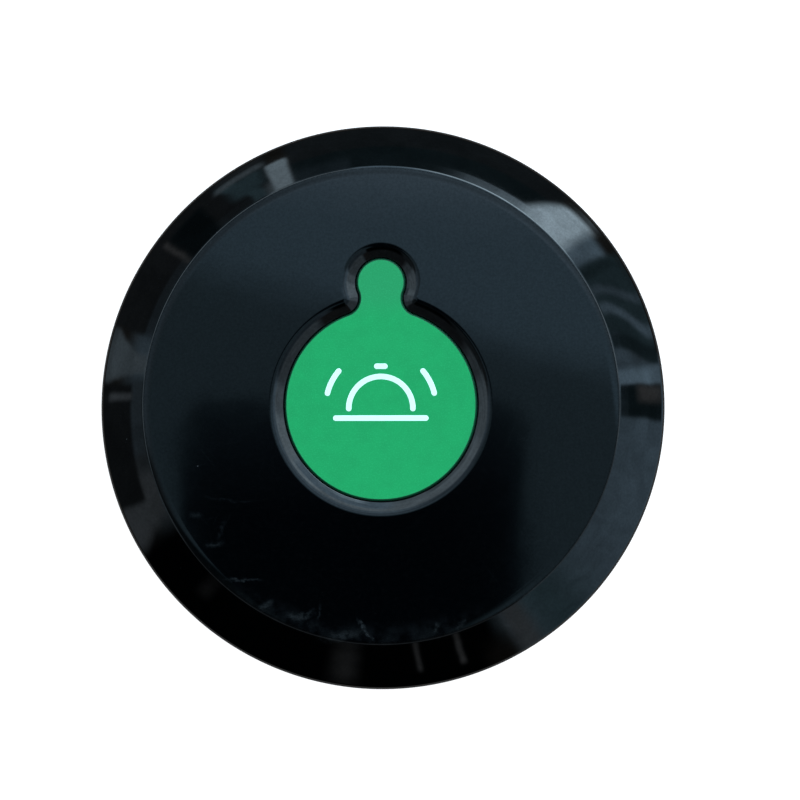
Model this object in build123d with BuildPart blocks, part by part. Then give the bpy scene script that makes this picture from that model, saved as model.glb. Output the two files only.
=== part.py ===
from build123d import *

import os
from math import atan2, cos, degrees, radians, sin, sqrt, tan

# Round desk call button: a gloss cover with a keyhole-shaped key, a radio board, a
# 12 V stick battery and a twist-off base. Millimetres, +Z up, resting plane at z = 0,
# the round part of the key centred on the Z axis and its lobe towards +Y.

# --- Outer form -----------------------------------------------------------------
body_diameter = 60.0  # widest circle, at the lower edge of the cover
total_height = 17.1  # feet to top face
face_diameter = 49.8  # where the bevel's line meets the top face
bevel_height = 3.8
side_draft = 0.2  # how far the side leans in, up to the bevel
cover_wall = 2.0
face_edge_radius = 1.2
shoulder_radius = 1.0
rim_edge_radius = 0.4

# --- Key outline: a disc and a small lobe, joined by two concave arcs --------------
key_disc_radius = 9.95
key_lobe_radius = 2.45
key_lobe_distance = 12.78
key_neck_radius = 1.9
key_gap = 0.28  # key side to opening
dish_reach = 1.8  # outer edge of the dished lip, from the key outline
dish_depth = 0.9
key_recess = 0.3  # top of the film below the top face
key_travel = 0.5
film_thickness = 0.25
film_inset = 0.08
key_skin = 1.2  # thickness of the key's top and of its wall
key_flange_reach = 1.2
key_flange_thickness = 1.2
key_rib_thickness = 1.0
key_rib_count = 4
key_rib_start = 45.0
collar_gap = 0.2
collar_wall = 1.0
collar_depth = 1.5
key_room = 0.2  # below the pressed flange
light_hole_radius = 1.6
pusher_radius = 1.75

# --- Base, bayonet and feet ---------------------------------------------------------
foot_drop = 0.8
foot_seat_depth = 0.4
foot_radius = 4.0
foot_inset = 9.2  # foot's centre, in from the rim
foot_count = 4
foot_start = 45.0
base_floor = 1.8
base_rim_inset = 0.8  # rim of the base inside the cover's outline
base_rim_thickness = 2.2
base_rim_width = 2.0
shadow_gap = 0.3  # open line between base and cover
grip_count = 24
grip_radius = 1.2
grip_depth = 0.35
spigot_gap = 0.3  # base wall to the land inside the cover
spigot_wall = 1.8
spigot_overlap = 0.6  # top of the base's wall above the board's underside
land_reach = 1.1  # how far the land stands in from the cover's inner wall
land_height = 2.0
bayonet_count = 3
bayonet_start = 30.0
lug_thickness = 1.0
lug_reach = 1.2
lug_span = 20.0
ledge_thickness = 0.8
ledge_span = 24.0
bayonet_gap = 0.1
stop_span = 3.0
stop_gap = 1.0
twist_angle = 25.0
seal_section = 0.95
seal_squeeze_gap = 0.05
seal_groove_play = 0.3
fixing_spacing = 30.0
fixing_hole_radius = 1.8
fixing_head_radius = 3.4
fixing_head_depth = 0.8
coin_slot_length = 16.0
coin_slot_width = 2.4
coin_slot_depth = 0.9

# --- Circuit board ------------------------------------------------------------------
board_gap = 0.5  # board to the base's wall
board_thickness = 1.6
board_edge_gap = 0.6  # board's straight edge to the battery
screw_inset = 3.8  # screw's centre, in from the board's edge
screw_angles = (90.0, 180.0, 360.0)
screw_radius = 0.95
screw_length = 5.0
screw_head_radius = 1.9
screw_head_height = 1.4
screw_recess_width = 0.5
screw_recess_depth = 0.7
screw_board_gap = 0.25
screw_pilot_gap = 0.05
boss_radius = 2.4

# --- Push switch --------------------------------------------------------------------
switch_width = 6.0
switch_body_height = 3.2
switch_cover_thickness = 0.3
switch_cover_gap = 0.2
switch_floor = 1.2
switch_well_radius = 2.3
plunger_radius = 1.7
plunger_flange_radius = 2.1
plunger_flange_thickness = 0.8
plunger_height = 5.0  # board to plunger top
dome_thickness = 0.15
dome_radius = 2.2
pin_hole_radius = 0.5
switch_pin_width = 0.7
switch_pin_thickness = 0.3
switch_pin_spread = 4.5
pin_tail = 1.0  # how far pins stand out below the board

# --- Lamp ---------------------------------------------------------------------------
lamp_radius = 1.5
lamp_flange_radius = 1.9
lamp_flange_thickness = 1.0
lamp_crown_radius = 1.35
lamp_gap = 0.4  # lamp to the pressed key
lead_spacing = 2.54
lead_width = 0.5

# --- Radio parts --------------------------------------------------------------------
chip_length = 4.9
chip_width = 3.9
chip_height = 1.4
chip_stand_off = 0.1
chip_place = (-12.5, 3.0)
chip_pins_per_side = 4
chip_pin_pitch = 1.27
chip_pin_width = 0.4
chip_pin_thickness = 0.2
chip_pin_reach = 1.0
can_inset = 8.2  # can's centre, in from the board's edge
can_angle = 30.0
can_radius = 4.1
can_flange_radius = 4.6
can_flange_thickness = 0.6
can_height = 3.4
coil_place = (-10.5, 12.5)
coil_radius = 2.2
coil_wire = 0.6
coil_pitch = 1.2
coil_length = 8.4
small_part_size = (1.6, 0.8, 0.5)
small_part_rows = (-2.5, 0.5)
small_part_columns = 4
small_part_step = 2.4
small_part_start = 6.5

# --- Battery and its contacts -------------------------------------------------------
battery_radius = 5.15
battery_length = 28.5
battery_sleeve_wall = 0.15
battery_sleeve_gap = 0.02
battery_button_radius = 2.2
battery_button_height = 0.8
battery_shift = 0.65  # middle of the battery, along +X
battery_end_gap = 0.6  # battery's corner to the base's wall
battery_floor_gap = 0.2
contact_thickness = 0.4
contact_width = 6.0
contact_low = 5.0
contact_slot_depth = 1.6
contact_slot_play = 0.05
contact_strip = 2.0
contact_pin_width = 0.8
contact_pin_inset = 1.6  # from the board's straight edge
holder_wall = 0.8
spring_length = 2.8
spring_wire = 0.5
spring_big_radius = 3.0
spring_small_radius = 2.0
spring_pitch = 0.85
cradle_thickness = 1.6
cradle_gap = 0.15
cradle_spread = 17.5
cradle_wrap = 0.9  # how far the cradle reaches past the battery's side
solder_height = 0.7
solder_radius = 1.0
solder_taper = 30.0
solder_gap = 0.02

# --- Heights and radii that follow ----------------------------------------------------
body_radius = body_diameter / 2
face_radius = face_diameter / 2
bevel_low = total_height - bevel_height
bevel_angle = atan2(bevel_height, body_radius - side_draft - face_radius)
ceiling = total_height - cover_wall
ceiling_radius = face_radius - cover_wall * tan(bevel_angle / 2)
wall_inner_radius = body_radius - cover_wall
shoulder_low = bevel_low - cover_wall * tan((radians(90) - bevel_angle) / 2)

floor_low = foot_drop
floor_top = floor_low + base_floor
rim_top = floor_low + base_rim_thickness
rim_radius = body_radius - base_rim_inset
cover_low = rim_top + shadow_gap
land_radius = wall_inner_radius - land_reach
spigot_radius = land_radius - spigot_gap
spigot_inner_radius = spigot_radius - spigot_wall
ledge_low = cover_low + shadow_gap
ledge_top = ledge_low + ledge_thickness
lug_low = ledge_top + bayonet_gap
lug_top = lug_low + lug_thickness
land_low = lug_top + 2 * bayonet_gap
land_top = land_low + land_height
seal_radius = land_radius - seal_squeeze_gap - seal_section / 2
seal_z = (land_low + land_top) / 2
seal_groove_floor = seal_radius - seal_section / 2
seal_groove_height = seal_section + seal_groove_play

foot_circle_radius = rim_radius - foot_inset

film_top = total_height - key_recess
key_top = film_top - film_thickness
flange_low = ceiling - key_flange_thickness
pocket_top = key_top - key_skin
board_top = ceiling - key_flange_thickness - key_travel - plunger_height
board_low = board_top - board_thickness
spigot_top = board_low + spigot_overlap
plunger_top = board_top + plunger_height
battery_z = floor_top + battery_floor_gap + battery_radius
positive_x = battery_shift + battery_length / 2
negative_x = battery_shift - battery_length / 2 - spring_length
cell_end = positive_x - battery_button_height
cell_start = battery_shift - battery_length / 2
battery_offset = sqrt((spigot_inner_radius - battery_end_gap) ** 2 - cell_end**2) - battery_radius
board_radius = spigot_inner_radius - board_gap
board_edge = battery_radius + board_edge_gap - battery_offset
screw_circle_radius = board_radius - screw_inset
screw_places = [
    (screw_circle_radius * cos(radians(a)), screw_circle_radius * sin(radians(a)))
    for a in screw_angles
]
can_circle_radius = board_radius - can_inset
can_place = (can_circle_radius * cos(radians(can_angle)), can_circle_radius * sin(radians(can_angle)))
switch_pin_x = switch_width / 2 + switch_pin_thickness / 2
switch_pin_places = [
    (side * switch_pin_x, end * switch_pin_spread / 2) for side in (-1, 1) for end in (-1, 1)
]
lamp_lead_places = [(side * lead_spacing / 2, key_lobe_distance) for side in (-1, 1)]
contact_pin_y = board_edge + contact_pin_inset
contact_pin_places = [
    (positive_x + contact_thickness / 2, contact_pin_y),
    (negative_x - contact_thickness / 2, contact_pin_y),
]
pin_places = switch_pin_places + lamp_lead_places + contact_pin_places
fixing_places = [(-fixing_spacing / 2, 0), (fixing_spacing / 2, 0)]


# --- Shared outlines ------------------------------------------------------------------
def keyhole_lines(grow):
    """Draw the key's outline, moved outwards by grow, in the line builder in use."""
    disc = key_disc_radius + grow
    lobe = key_lobe_radius + grow
    neck = max(key_neck_radius - grow, 0)
    to_disc = disc + neck
    to_lobe = lobe + neck
    neck_y = (to_disc**2 - to_lobe**2 + key_lobe_distance**2) / (2 * key_lobe_distance)
    neck_x = sqrt(to_disc**2 - neck_y**2)
    low = Vector(neck_x, neck_y) * (disc / to_disc)
    high = Vector(0, key_lobe_distance) + Vector(neck_x, neck_y - key_lobe_distance) * (lobe / to_lobe)
    waist = Vector(neck_x, neck_y)
    ThreePointArc(low, (0, -disc), (-low.X, low.Y))
    ThreePointArc(high, (0, key_lobe_distance + lobe), (-high.X, high.Y))
    if neck > 0:
        inward = ((low + high) / 2 - waist).normalized() * neck
        middle = waist + inward
        ThreePointArc(low, middle, high)
        ThreePointArc((-low.X, low.Y), (-middle.X, middle.Y), (-high.X, high.Y))


def sector_lines(inner, outer, start, span):
    """Draw a ring sector, angles in degrees, in the line builder in use."""
    far = CenterArc((0, 0), outer, start, span)
    near = CenterArc((0, 0), inner, start, span)
    Line(far @ 0, near @ 0)
    Line(far @ 1, near @ 1)


def save(piece, name):
    """Label a finished piece and write its STEP file."""
    piece.part.label = name
    export_step(piece.part, f"parts/{name}.step")


os.makedirs("parts", exist_ok=True)
bayonet_angles = [bayonet_start + k * 360 / bayonet_count for k in range(bayonet_count)]

# --- Cover: bevelled shell with the key's opening, collar, bosses and battery cradle ---
with BuildPart() as top_cover:
    with BuildSketch(Plane.XZ):
        with BuildLine():
            FilletPolyline(
                (wall_inner_radius, cover_low),
                (body_radius, cover_low),
                (body_radius - side_draft, bevel_low),
                (face_radius, total_height),
                (0, total_height),
                radius=[rim_edge_radius, shoulder_radius, face_edge_radius],
            )
            Polyline(
                (0, total_height),
                (0, ceiling),
                (ceiling_radius, ceiling),
                (wall_inner_radius, shoulder_low),
                (wall_inner_radius, land_top),
                (land_radius, land_top),
                (land_radius, land_low),
                (wall_inner_radius, land_low),
                (wall_inner_radius, cover_low),
            )
        make_face()
    revolve(axis=Axis.Z)

    # collar that guides the key's flange
    with BuildSketch(Plane.XY.offset(ceiling - collar_depth)):
        with BuildLine():
            keyhole_lines(key_flange_reach + collar_gap + collar_wall)
        make_face()
    extrude(amount=collar_depth)

    # bosses for the board's screws
    with BuildSketch(Plane.XY.offset(board_top)):
        with Locations(*screw_places):
            Circle(boss_radius)
    extrude(amount=ceiling - board_top)
    with BuildSketch(Plane.XY.offset(board_top)):
        with Locations(*screw_places):
            Circle(screw_radius + screw_pilot_gap)
    extrude(amount=screw_length, mode=Mode.SUBTRACT)

    # two ribs that cradle the battery from above, clear of the board
    cradle_low = board_top + cradle_gap
    with BuildSketch(Plane.XY.offset(cradle_low)):
        with Locations((battery_shift, -battery_offset)):
            with GridLocations(cradle_spread, 1, 2, 1):
                Rectangle(cradle_thickness, 2 * (battery_radius + cradle_wrap))
    extrude(amount=ceiling - cradle_low)
    with BuildSketch(Plane.YZ.offset(battery_shift)):
        with Locations((-battery_offset, battery_z)):
            Circle(battery_radius + cradle_gap)
    extrude(amount=battery_length / 2, both=True, mode=Mode.SUBTRACT)

    # slotted holders for the two contact plates
    for holder_x in (positive_x, negative_x - contact_thickness):
        with BuildSketch(Plane.XY.offset(ceiling - contact_slot_depth)):
            with Locations((holder_x + contact_thickness / 2, -battery_offset)):
                Rectangle(contact_thickness + 2 * holder_wall, contact_width + 2 * holder_wall)
        extrude(amount=contact_slot_depth)
        with BuildSketch(Plane.XY.offset(ceiling - contact_slot_depth)):
            with Locations((holder_x + contact_thickness / 2, -battery_offset)):
                Rectangle(contact_thickness + 2 * contact_slot_play, contact_width + 2 * contact_slot_play)
        extrude(amount=contact_slot_depth, mode=Mode.SUBTRACT)

    # room for the key's flange, down to where it is pressed
    flange_room = key_flange_thickness + key_travel + key_room
    with BuildSketch(Plane.XY.offset(ceiling - flange_room)):
        with BuildLine():
            keyhole_lines(key_flange_reach + collar_gap)
        make_face()
    extrude(amount=flange_room, mode=Mode.SUBTRACT)

    # opening with its dished lip
    with BuildSketch(Plane.XY.offset(ceiling)):
        with BuildLine():
            keyhole_lines(key_gap)
        make_face()
    extrude(amount=cover_wall, mode=Mode.SUBTRACT)
    with BuildSketch(Plane.XY.offset(total_height - dish_depth)):
        with BuildLine():
            keyhole_lines(key_gap)
        make_face()
    with BuildSketch(Plane.XY.offset(total_height)):
        with BuildLine():
            keyhole_lines(dish_reach)
        make_face()
    loft(ruled=True, mode=Mode.SUBTRACT)

    # bayonet ledges, each with a stop at its locked end and one at its open end
    for angle in bayonet_angles:
        with BuildSketch(Plane.XY.offset(ledge_low)):
            with BuildLine():
                sector_lines(land_radius, wall_inner_radius + bayonet_gap, angle - ledge_span / 2, ledge_span)
            make_face()
        extrude(amount=ledge_thickness)
        stop_starts = (
            angle - lug_span / 2 - stop_gap - stop_span,
            angle + twist_angle + lug_span / 2 + stop_gap,
        )
        for start in stop_starts:
            with BuildSketch(Plane.XY.offset(ledge_low)):
                with BuildLine():
                    sector_lines(land_radius, wall_inner_radius + bayonet_gap, start, stop_span)
                make_face()
            extrude(amount=land_low - ledge_low)
save(top_cover, "top_cover")

# --- Key: hollow keyhole-shaped cap with a flange, a pusher and stiffening ribs --------
with BuildPart() as key_cap:
    with BuildSketch(Plane.XY.offset(flange_low)):
        with BuildLine():
            keyhole_lines(key_flange_reach)
        make_face()
    extrude(amount=key_flange_thickness)
    with BuildSketch(Plane.XY.offset(flange_low)):
        with BuildLine():
            keyhole_lines(0)
        make_face()
    extrude(amount=key_top - flange_low)
    with BuildSketch(Plane.XY.offset(flange_low)):
        with BuildLine():
            keyhole_lines(-key_skin)
        make_face()
    extrude(amount=pocket_top - flange_low, mode=Mode.SUBTRACT)
    with BuildSketch(Plane.XY.offset(flange_low)):
        with PolarLocations(0, key_rib_count, start_angle=key_rib_start):
            Rectangle(key_disc_radius - key_skin / 2, key_rib_thickness, align=(Align.MIN, Align.CENTER))
    extrude(amount=pocket_top - flange_low)
    with BuildSketch(Plane.XY.offset(plunger_top)):
        Circle(pusher_radius)
    extrude(amount=pocket_top - plunger_top)
    with BuildSketch(Plane.XY.offset(flange_low)):
        with Locations((0, key_lobe_distance)):
            Circle(light_hole_radius)
    extrude(amount=key_top - flange_low, mode=Mode.SUBTRACT)
save(key_cap, "key_cap")

# --- Film: printed sheet on top of the key ----------------------------------------------
with BuildPart() as key_film:
    with BuildSketch(Plane.XY.offset(key_top)):
        with BuildLine():
            keyhole_lines(-film_inset)
        make_face()
    extrude(amount=film_thickness)
save(key_film, "key_film")

# --- Base: floor with rim, spigot wall, seal groove, lugs and fixing holes -----------------
with BuildPart() as bottom_cover:
    with BuildSketch(Plane.XZ):
        with BuildLine():
            Polyline(
                (0, floor_low),
                (rim_radius - rim_edge_radius, floor_low),
                (rim_radius, floor_low + rim_edge_radius),
                (rim_radius, rim_top),
                (rim_radius - base_rim_width, rim_top),
                (rim_radius - base_rim_width, floor_top),
                (spigot_radius, floor_top),
                (spigot_radius, seal_z - seal_groove_height / 2),
                (seal_groove_floor, seal_z - seal_groove_height / 2),
                (seal_groove_floor, seal_z + seal_groove_height / 2),
                (spigot_radius, seal_z + seal_groove_height / 2),
                (spigot_radius, spigot_top),
                (spigot_inner_radius, spigot_top),
                (spigot_inner_radius, floor_top),
                (0, floor_top),
                close=True,
            )
        make_face()
    revolve(axis=Axis.Z)

    for angle in bayonet_angles:
        with BuildSketch(Plane.XY.offset(lug_low)):
            with BuildLine():
                sector_lines(seal_groove_floor, spigot_radius + lug_reach, angle - lug_span / 2, lug_span)
            make_face()
        extrude(amount=lug_thickness)

    # finger notches round the rim
    with BuildSketch(Plane.XY.offset(floor_low)):
        with PolarLocations(rim_radius + grip_radius - grip_depth, grip_count):
            Circle(grip_radius)
    extrude(amount=base_rim_thickness, mode=Mode.SUBTRACT)

    # seats for the feet
    with BuildSketch(Plane.XY.offset(floor_low)):
        with PolarLocations(foot_circle_radius, foot_count, start_angle=foot_start):
            Circle(foot_radius)
    extrude(amount=foot_seat_depth, mode=Mode.SUBTRACT)

    # coin slot for opening the base
    with BuildSketch(Plane.XY.offset(floor_low)):
        SlotOverall(coin_slot_length, coin_slot_width)
    extrude(amount=coin_slot_depth, mode=Mode.SUBTRACT)

    # two fixing holes, with room for the screw heads inside
    with Locations(Plane.XY.offset(floor_top)):
        with Locations(*fixing_places):
            CounterBoreHole(
                radius=fixing_hole_radius,
                counter_bore_radius=fixing_head_radius,
                counter_bore_depth=fixing_head_depth,
                depth=base_floor,
            )
save(bottom_cover, "bottom_cover")

with BuildPart() as rubber_feet:
    with BuildSketch():
        with PolarLocations(foot_circle_radius, foot_count, start_angle=foot_start):
            Circle(foot_radius)
    extrude(amount=foot_drop + foot_seat_depth)
save(rubber_feet, "rubber_feet")

with BuildPart() as seal_ring:
    with BuildSketch(Plane.XZ):
        with Locations((seal_radius, seal_z)):
            Circle(seal_section / 2)
    revolve(axis=Axis.Z)
save(seal_ring, "seal_ring")

# --- Board: disc with one straight edge beside the battery ---------------------------------
with BuildPart() as circuit_board:
    with BuildSketch(Plane.XY.offset(board_low)):
        Circle(board_radius)
        with Locations((0, board_edge)):
            Rectangle(2 * board_radius, 2 * board_radius, align=(Align.CENTER, Align.MAX), mode=Mode.SUBTRACT)
        with Locations(*screw_places):
            Circle(screw_radius + screw_board_gap, mode=Mode.SUBTRACT)
        with Locations(*pin_places):
            Circle(pin_hole_radius, mode=Mode.SUBTRACT)
    extrude(amount=board_thickness)
save(circuit_board, "circuit_board")

with BuildPart() as board_screws:
    with BuildSketch(Plane.XY.offset(board_low - screw_head_height)):
        with Locations(*screw_places):
            Circle(screw_head_radius)
    extrude(amount=screw_head_height)
    head_rims = board_screws.edges().group_by(Axis.Z)[0]
    fillet(head_rims, radius=screw_head_height / 2)
    with BuildSketch(Plane.XY.offset(board_low)):
        with Locations(*screw_places):
            Circle(screw_radius)
    extrude(amount=screw_length)
    with BuildSketch(Plane.XY.offset(board_low - screw_head_height)):
        for place in screw_places:
            with Locations(place):
                Rectangle(2 * screw_radius, screw_recess_width)
                Rectangle(screw_recess_width, 2 * screw_radius)
    extrude(amount=screw_recess_depth, mode=Mode.SUBTRACT)
save(board_screws, "board_screws")

# --- Push switch: base, pressed cover, snap dome, plunger and pins -----------------------------
with BuildPart() as switch_base:
    with BuildSketch(Plane.XY.offset(board_top)):
        Rectangle(switch_width, switch_width)
    extrude(amount=switch_body_height)
    with BuildSketch(Plane.XY.offset(board_top + switch_floor)):
        Circle(switch_well_radius)
    extrude(amount=switch_body_height - switch_floor, mode=Mode.SUBTRACT)
save(switch_base, "switch_base")

with BuildPart() as switch_cover:
    with BuildSketch(Plane.XY.offset(board_top + switch_body_height)):
        Rectangle(switch_width, switch_width)
        Circle(plunger_radius + switch_cover_gap, mode=Mode.SUBTRACT)
    extrude(amount=switch_cover_thickness)
save(switch_cover, "switch_cover")

dome_top = board_top + switch_body_height - plunger_flange_thickness
dome_rise = dome_top - (board_top + switch_floor)
with BuildPart() as switch_dome:
    with BuildSketch(Plane.XZ):
        with BuildLine():
            crown = ThreePointArc(
                (-dome_radius, board_top + switch_floor),
                (0, dome_top),
                (dome_radius, board_top + switch_floor),
            )
            inner = ThreePointArc(
                (-dome_radius + dome_thickness, board_top + switch_floor),
                (0, dome_top - dome_thickness),
                (dome_radius - dome_thickness, board_top + switch_floor),
            )
            Line(crown @ 0, inner @ 0)
            Line(crown @ 1, inner @ 1)
        make_face()
        with Locations((0, board_top)):
            Rectangle(dome_radius, plunger_height, align=(Align.MAX, Align.MIN), mode=Mode.SUBTRACT)
    revolve(axis=Axis.Z)
save(switch_dome, "switch_dome")

with BuildPart() as switch_plunger:
    with BuildSketch(Plane.XY.offset(dome_top)):
        Circle(plunger_flange_radius)
    extrude(amount=plunger_flange_thickness)
    with BuildSketch(Plane.XY.offset(dome_top)):
        Circle(plunger_radius)
    extrude(amount=plunger_top - dome_top)
save(switch_plunger, "switch_plunger")

with BuildPart() as switch_terminals:
    with BuildSketch(Plane.XY.offset(board_low - pin_tail)):
        with Locations(*switch_pin_places):
            Rectangle(switch_pin_thickness, switch_pin_width)
    extrude(amount=board_thickness + pin_tail + switch_floor)
save(switch_terminals, "switch_terminals")

# --- Lamp under the lobe --------------------------------------------------------------------------
with BuildPart() as lamp_lens:
    with BuildSketch(Plane.XY.offset(board_top)):
        with Locations((0, key_lobe_distance)):
            Circle(lamp_flange_radius)
    extrude(amount=lamp_flange_thickness)
    with BuildSketch(Plane.XY.offset(board_top)):
        with Locations((0, key_lobe_distance)):
            Circle(lamp_radius)
    extrude(amount=plunger_height - lamp_gap)
    lens_rim = lamp_lens.edges().group_by(Axis.Z)[-1]
    fillet(lens_rim, radius=lamp_crown_radius)
save(lamp_lens, "lamp_lens")

with BuildPart() as lamp_leads:
    with BuildSketch(Plane.XY.offset(board_low - pin_tail)):
        with Locations(*lamp_lead_places):
            Rectangle(lead_width, lead_width)
    extrude(amount=board_thickness + pin_tail)
save(lamp_leads, "lamp_leads")

# --- Radio parts on the board ------------------------------------------------------------------------
with BuildPart() as encoder_chip:
    with BuildSketch(Plane.XY.offset(board_top + chip_stand_off)):
        with Locations(chip_place):
            Rectangle(chip_length, chip_width)
    extrude(amount=chip_height)
save(encoder_chip, "encoder_chip")

chip_pin_top = board_top + chip_stand_off + chip_height / 2
with BuildPart() as chip_pins:
    for side in (-1, 1):
        pin_root = chip_place[1] + side * chip_width / 2
        pin_knee = pin_root + side * chip_pin_reach / 2
        pin_tip = pin_root + side * chip_pin_reach
        for k in range(chip_pins_per_side):
            pin_x = (k - (chip_pins_per_side - 1) / 2) * chip_pin_pitch
            with BuildSketch(Plane.YZ.offset(chip_place[0] + pin_x)):
                with BuildLine():
                    Polyline(
                        (pin_root, chip_pin_top),
                        (pin_knee, chip_pin_top),
                        (pin_knee, board_top + chip_pin_thickness),
                        (pin_tip, board_top + chip_pin_thickness),
                        (pin_tip, board_top),
                        (pin_knee - side * chip_pin_thickness, board_top),
                        (pin_knee - side * chip_pin_thickness, chip_pin_top - chip_pin_thickness),
                        (pin_root, chip_pin_top - chip_pin_thickness),
                        close=True,
                    )
                make_face()
            extrude(amount=chip_pin_width / 2, both=True)
save(chip_pins, "chip_pins")

with BuildPart() as resonator_can:
    with BuildSketch(Plane.XY.offset(board_top)):
        with Locations(can_place):
            Circle(can_flange_radius)
    extrude(amount=can_flange_thickness)
    with BuildSketch(Plane.XY.offset(board_top)):
        with Locations(can_place):
            Circle(can_radius)
    extrude(amount=can_height)
    can_rim = resonator_can.edges().group_by(Axis.Z)[-1]
    fillet(can_rim, radius=can_flange_thickness)
save(resonator_can, "resonator_can")

coil_z = board_top + coil_radius + coil_wire / 2
with BuildPart() as antenna_coil:
    with BuildLine():
        coil_path = Helix(
            pitch=coil_pitch,
            height=coil_length,
            radius=coil_radius,
            center=(coil_place[0] - coil_length / 2, coil_place[1], coil_z),
            direction=(1, 0, 0),
        )
    with BuildSketch(Plane(origin=coil_path @ 0, z_dir=coil_path % 0)):
        Circle(coil_wire / 2)
    sweep(is_frenet=True)
save(antenna_coil, "antenna_coil")

with BuildPart() as chip_components:
    with BuildSketch(Plane.XY.offset(board_top)):
        for row in small_part_rows:
            for k in range(small_part_columns):
                with Locations((small_part_start + k * small_part_step, row)):
                    Rectangle(small_part_size[1], small_part_size[0])
    extrude(amount=small_part_size[2])
save(chip_components, "chip_components")

# --- Battery: can, printed sleeve and positive button ---------------------------------------------------
with BuildPart() as battery_cell:
    with BuildSketch(Plane.YZ.offset(cell_start)):
        with Locations((-battery_offset, battery_z)):
            Circle(battery_radius - battery_sleeve_wall - battery_sleeve_gap)
    extrude(amount=cell_end - cell_start)
save(battery_cell, "battery_cell")

with BuildPart() as battery_sleeve:
    with BuildSketch(Plane.YZ.offset(cell_start + battery_sleeve_wall)):
        with Locations((-battery_offset, battery_z)):
            Circle(battery_radius)
            Circle(battery_radius - battery_sleeve_wall, mode=Mode.SUBTRACT)
    extrude(amount=cell_end - cell_start - battery_sleeve_wall)
save(battery_sleeve, "battery_sleeve")

with BuildPart() as battery_button:
    with BuildSketch(Plane.YZ.offset(cell_end)):
        with Locations((-battery_offset, battery_z)):
            Circle(battery_button_radius)
    extrude(amount=battery_button_height)
save(battery_button, "battery_button")

spring_run = spring_length - spring_wire
spring_taper = -degrees(atan2(spring_big_radius - spring_small_radius, spring_run))
with BuildPart() as battery_spring:
    with BuildLine():
        spring_path = Helix(
            pitch=spring_pitch,
            height=spring_run,
            radius=spring_big_radius,
            center=(negative_x + spring_wire / 2, -battery_offset, battery_z),
            direction=(1, 0, 0),
            cone_angle=spring_taper,
        )
    with BuildSketch(Plane(origin=spring_path @ 0, z_dir=spring_path % 0)):
        Circle(spring_wire / 2)
    sweep(is_frenet=True)
save(battery_spring, "battery_spring")

# --- Contact plates, each with a strip to the board and a pin through it ------------------------------------
for contact_name, contact_x in (
    ("positive_contact", positive_x),
    ("negative_contact", negative_x - contact_thickness),
):
    plate_side = contact_width / 2 - battery_offset
    with BuildPart() as contact:
        with BuildSketch(Plane.YZ.offset(contact_x)):
            with BuildLine():
                Polyline(
                    (plate_side - contact_width, contact_low),
                    (plate_side, contact_low),
                    (plate_side, board_top),
                    (contact_pin_y - contact_pin_width / 2, board_top),
                    (contact_pin_y - contact_pin_width / 2, board_low - pin_tail),
                    (contact_pin_y + contact_pin_width / 2, board_low - pin_tail),
                    (contact_pin_y + contact_pin_width / 2, board_top + contact_strip),
                    (plate_side, board_top + contact_strip),
                    (plate_side, ceiling),
                    (plate_side - contact_width, ceiling),
                    close=True,
                )
            make_face()
        extrude(amount=contact_thickness)
    save(contact, contact_name)

# --- Solder cones under the board, round every pin --------------------------------------------------------
with BuildPart() as solder_joints:
    with BuildSketch(Plane.XY.offset(board_low)):
        with Locations(*pin_places):
            Circle(solder_radius)
    extrude(amount=-solder_height, taper=solder_taper)
    pin_sides = (
        [(place, (switch_pin_thickness, switch_pin_width)) for place in switch_pin_places]
        + [(place, (lead_width, lead_width)) for place in lamp_lead_places]
        + [(place, (contact_thickness, contact_pin_width)) for place in contact_pin_places]
    )
    with BuildSketch(Plane.XY.offset(board_low)):
        for place, (across, along) in pin_sides:
            with Locations(place):
                Rectangle(across + 2 * solder_gap, along + 2 * solder_gap)
    extrude(amount=-solder_height, mode=Mode.SUBTRACT)
save(solder_joints, "solder_joints")
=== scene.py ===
from math import cos, pi, radians, sin, tan

import bmesh
import bpy
import numpy as np
from mathutils import Matrix, Vector


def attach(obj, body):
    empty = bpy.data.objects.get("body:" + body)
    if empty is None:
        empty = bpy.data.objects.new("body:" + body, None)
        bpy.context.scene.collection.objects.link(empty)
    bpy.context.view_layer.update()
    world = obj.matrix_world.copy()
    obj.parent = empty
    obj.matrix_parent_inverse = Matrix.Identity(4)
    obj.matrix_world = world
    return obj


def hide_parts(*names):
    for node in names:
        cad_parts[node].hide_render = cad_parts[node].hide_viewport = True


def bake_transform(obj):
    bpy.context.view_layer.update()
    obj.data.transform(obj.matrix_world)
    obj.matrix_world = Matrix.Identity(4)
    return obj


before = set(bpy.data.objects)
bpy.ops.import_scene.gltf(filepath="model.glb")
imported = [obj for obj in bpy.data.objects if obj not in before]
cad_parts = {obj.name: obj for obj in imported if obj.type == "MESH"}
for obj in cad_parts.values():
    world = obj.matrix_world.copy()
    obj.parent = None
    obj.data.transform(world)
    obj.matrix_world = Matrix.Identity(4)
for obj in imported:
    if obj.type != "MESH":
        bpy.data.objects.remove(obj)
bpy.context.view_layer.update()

# Looks of a round desk call button. Lengths are millimetres until they reach a mesh,
# +Z is up and +Y runs from the key's disc to its lobe.
mm = 0.001
print("frame loaded:", len(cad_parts), "nodes")


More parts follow.
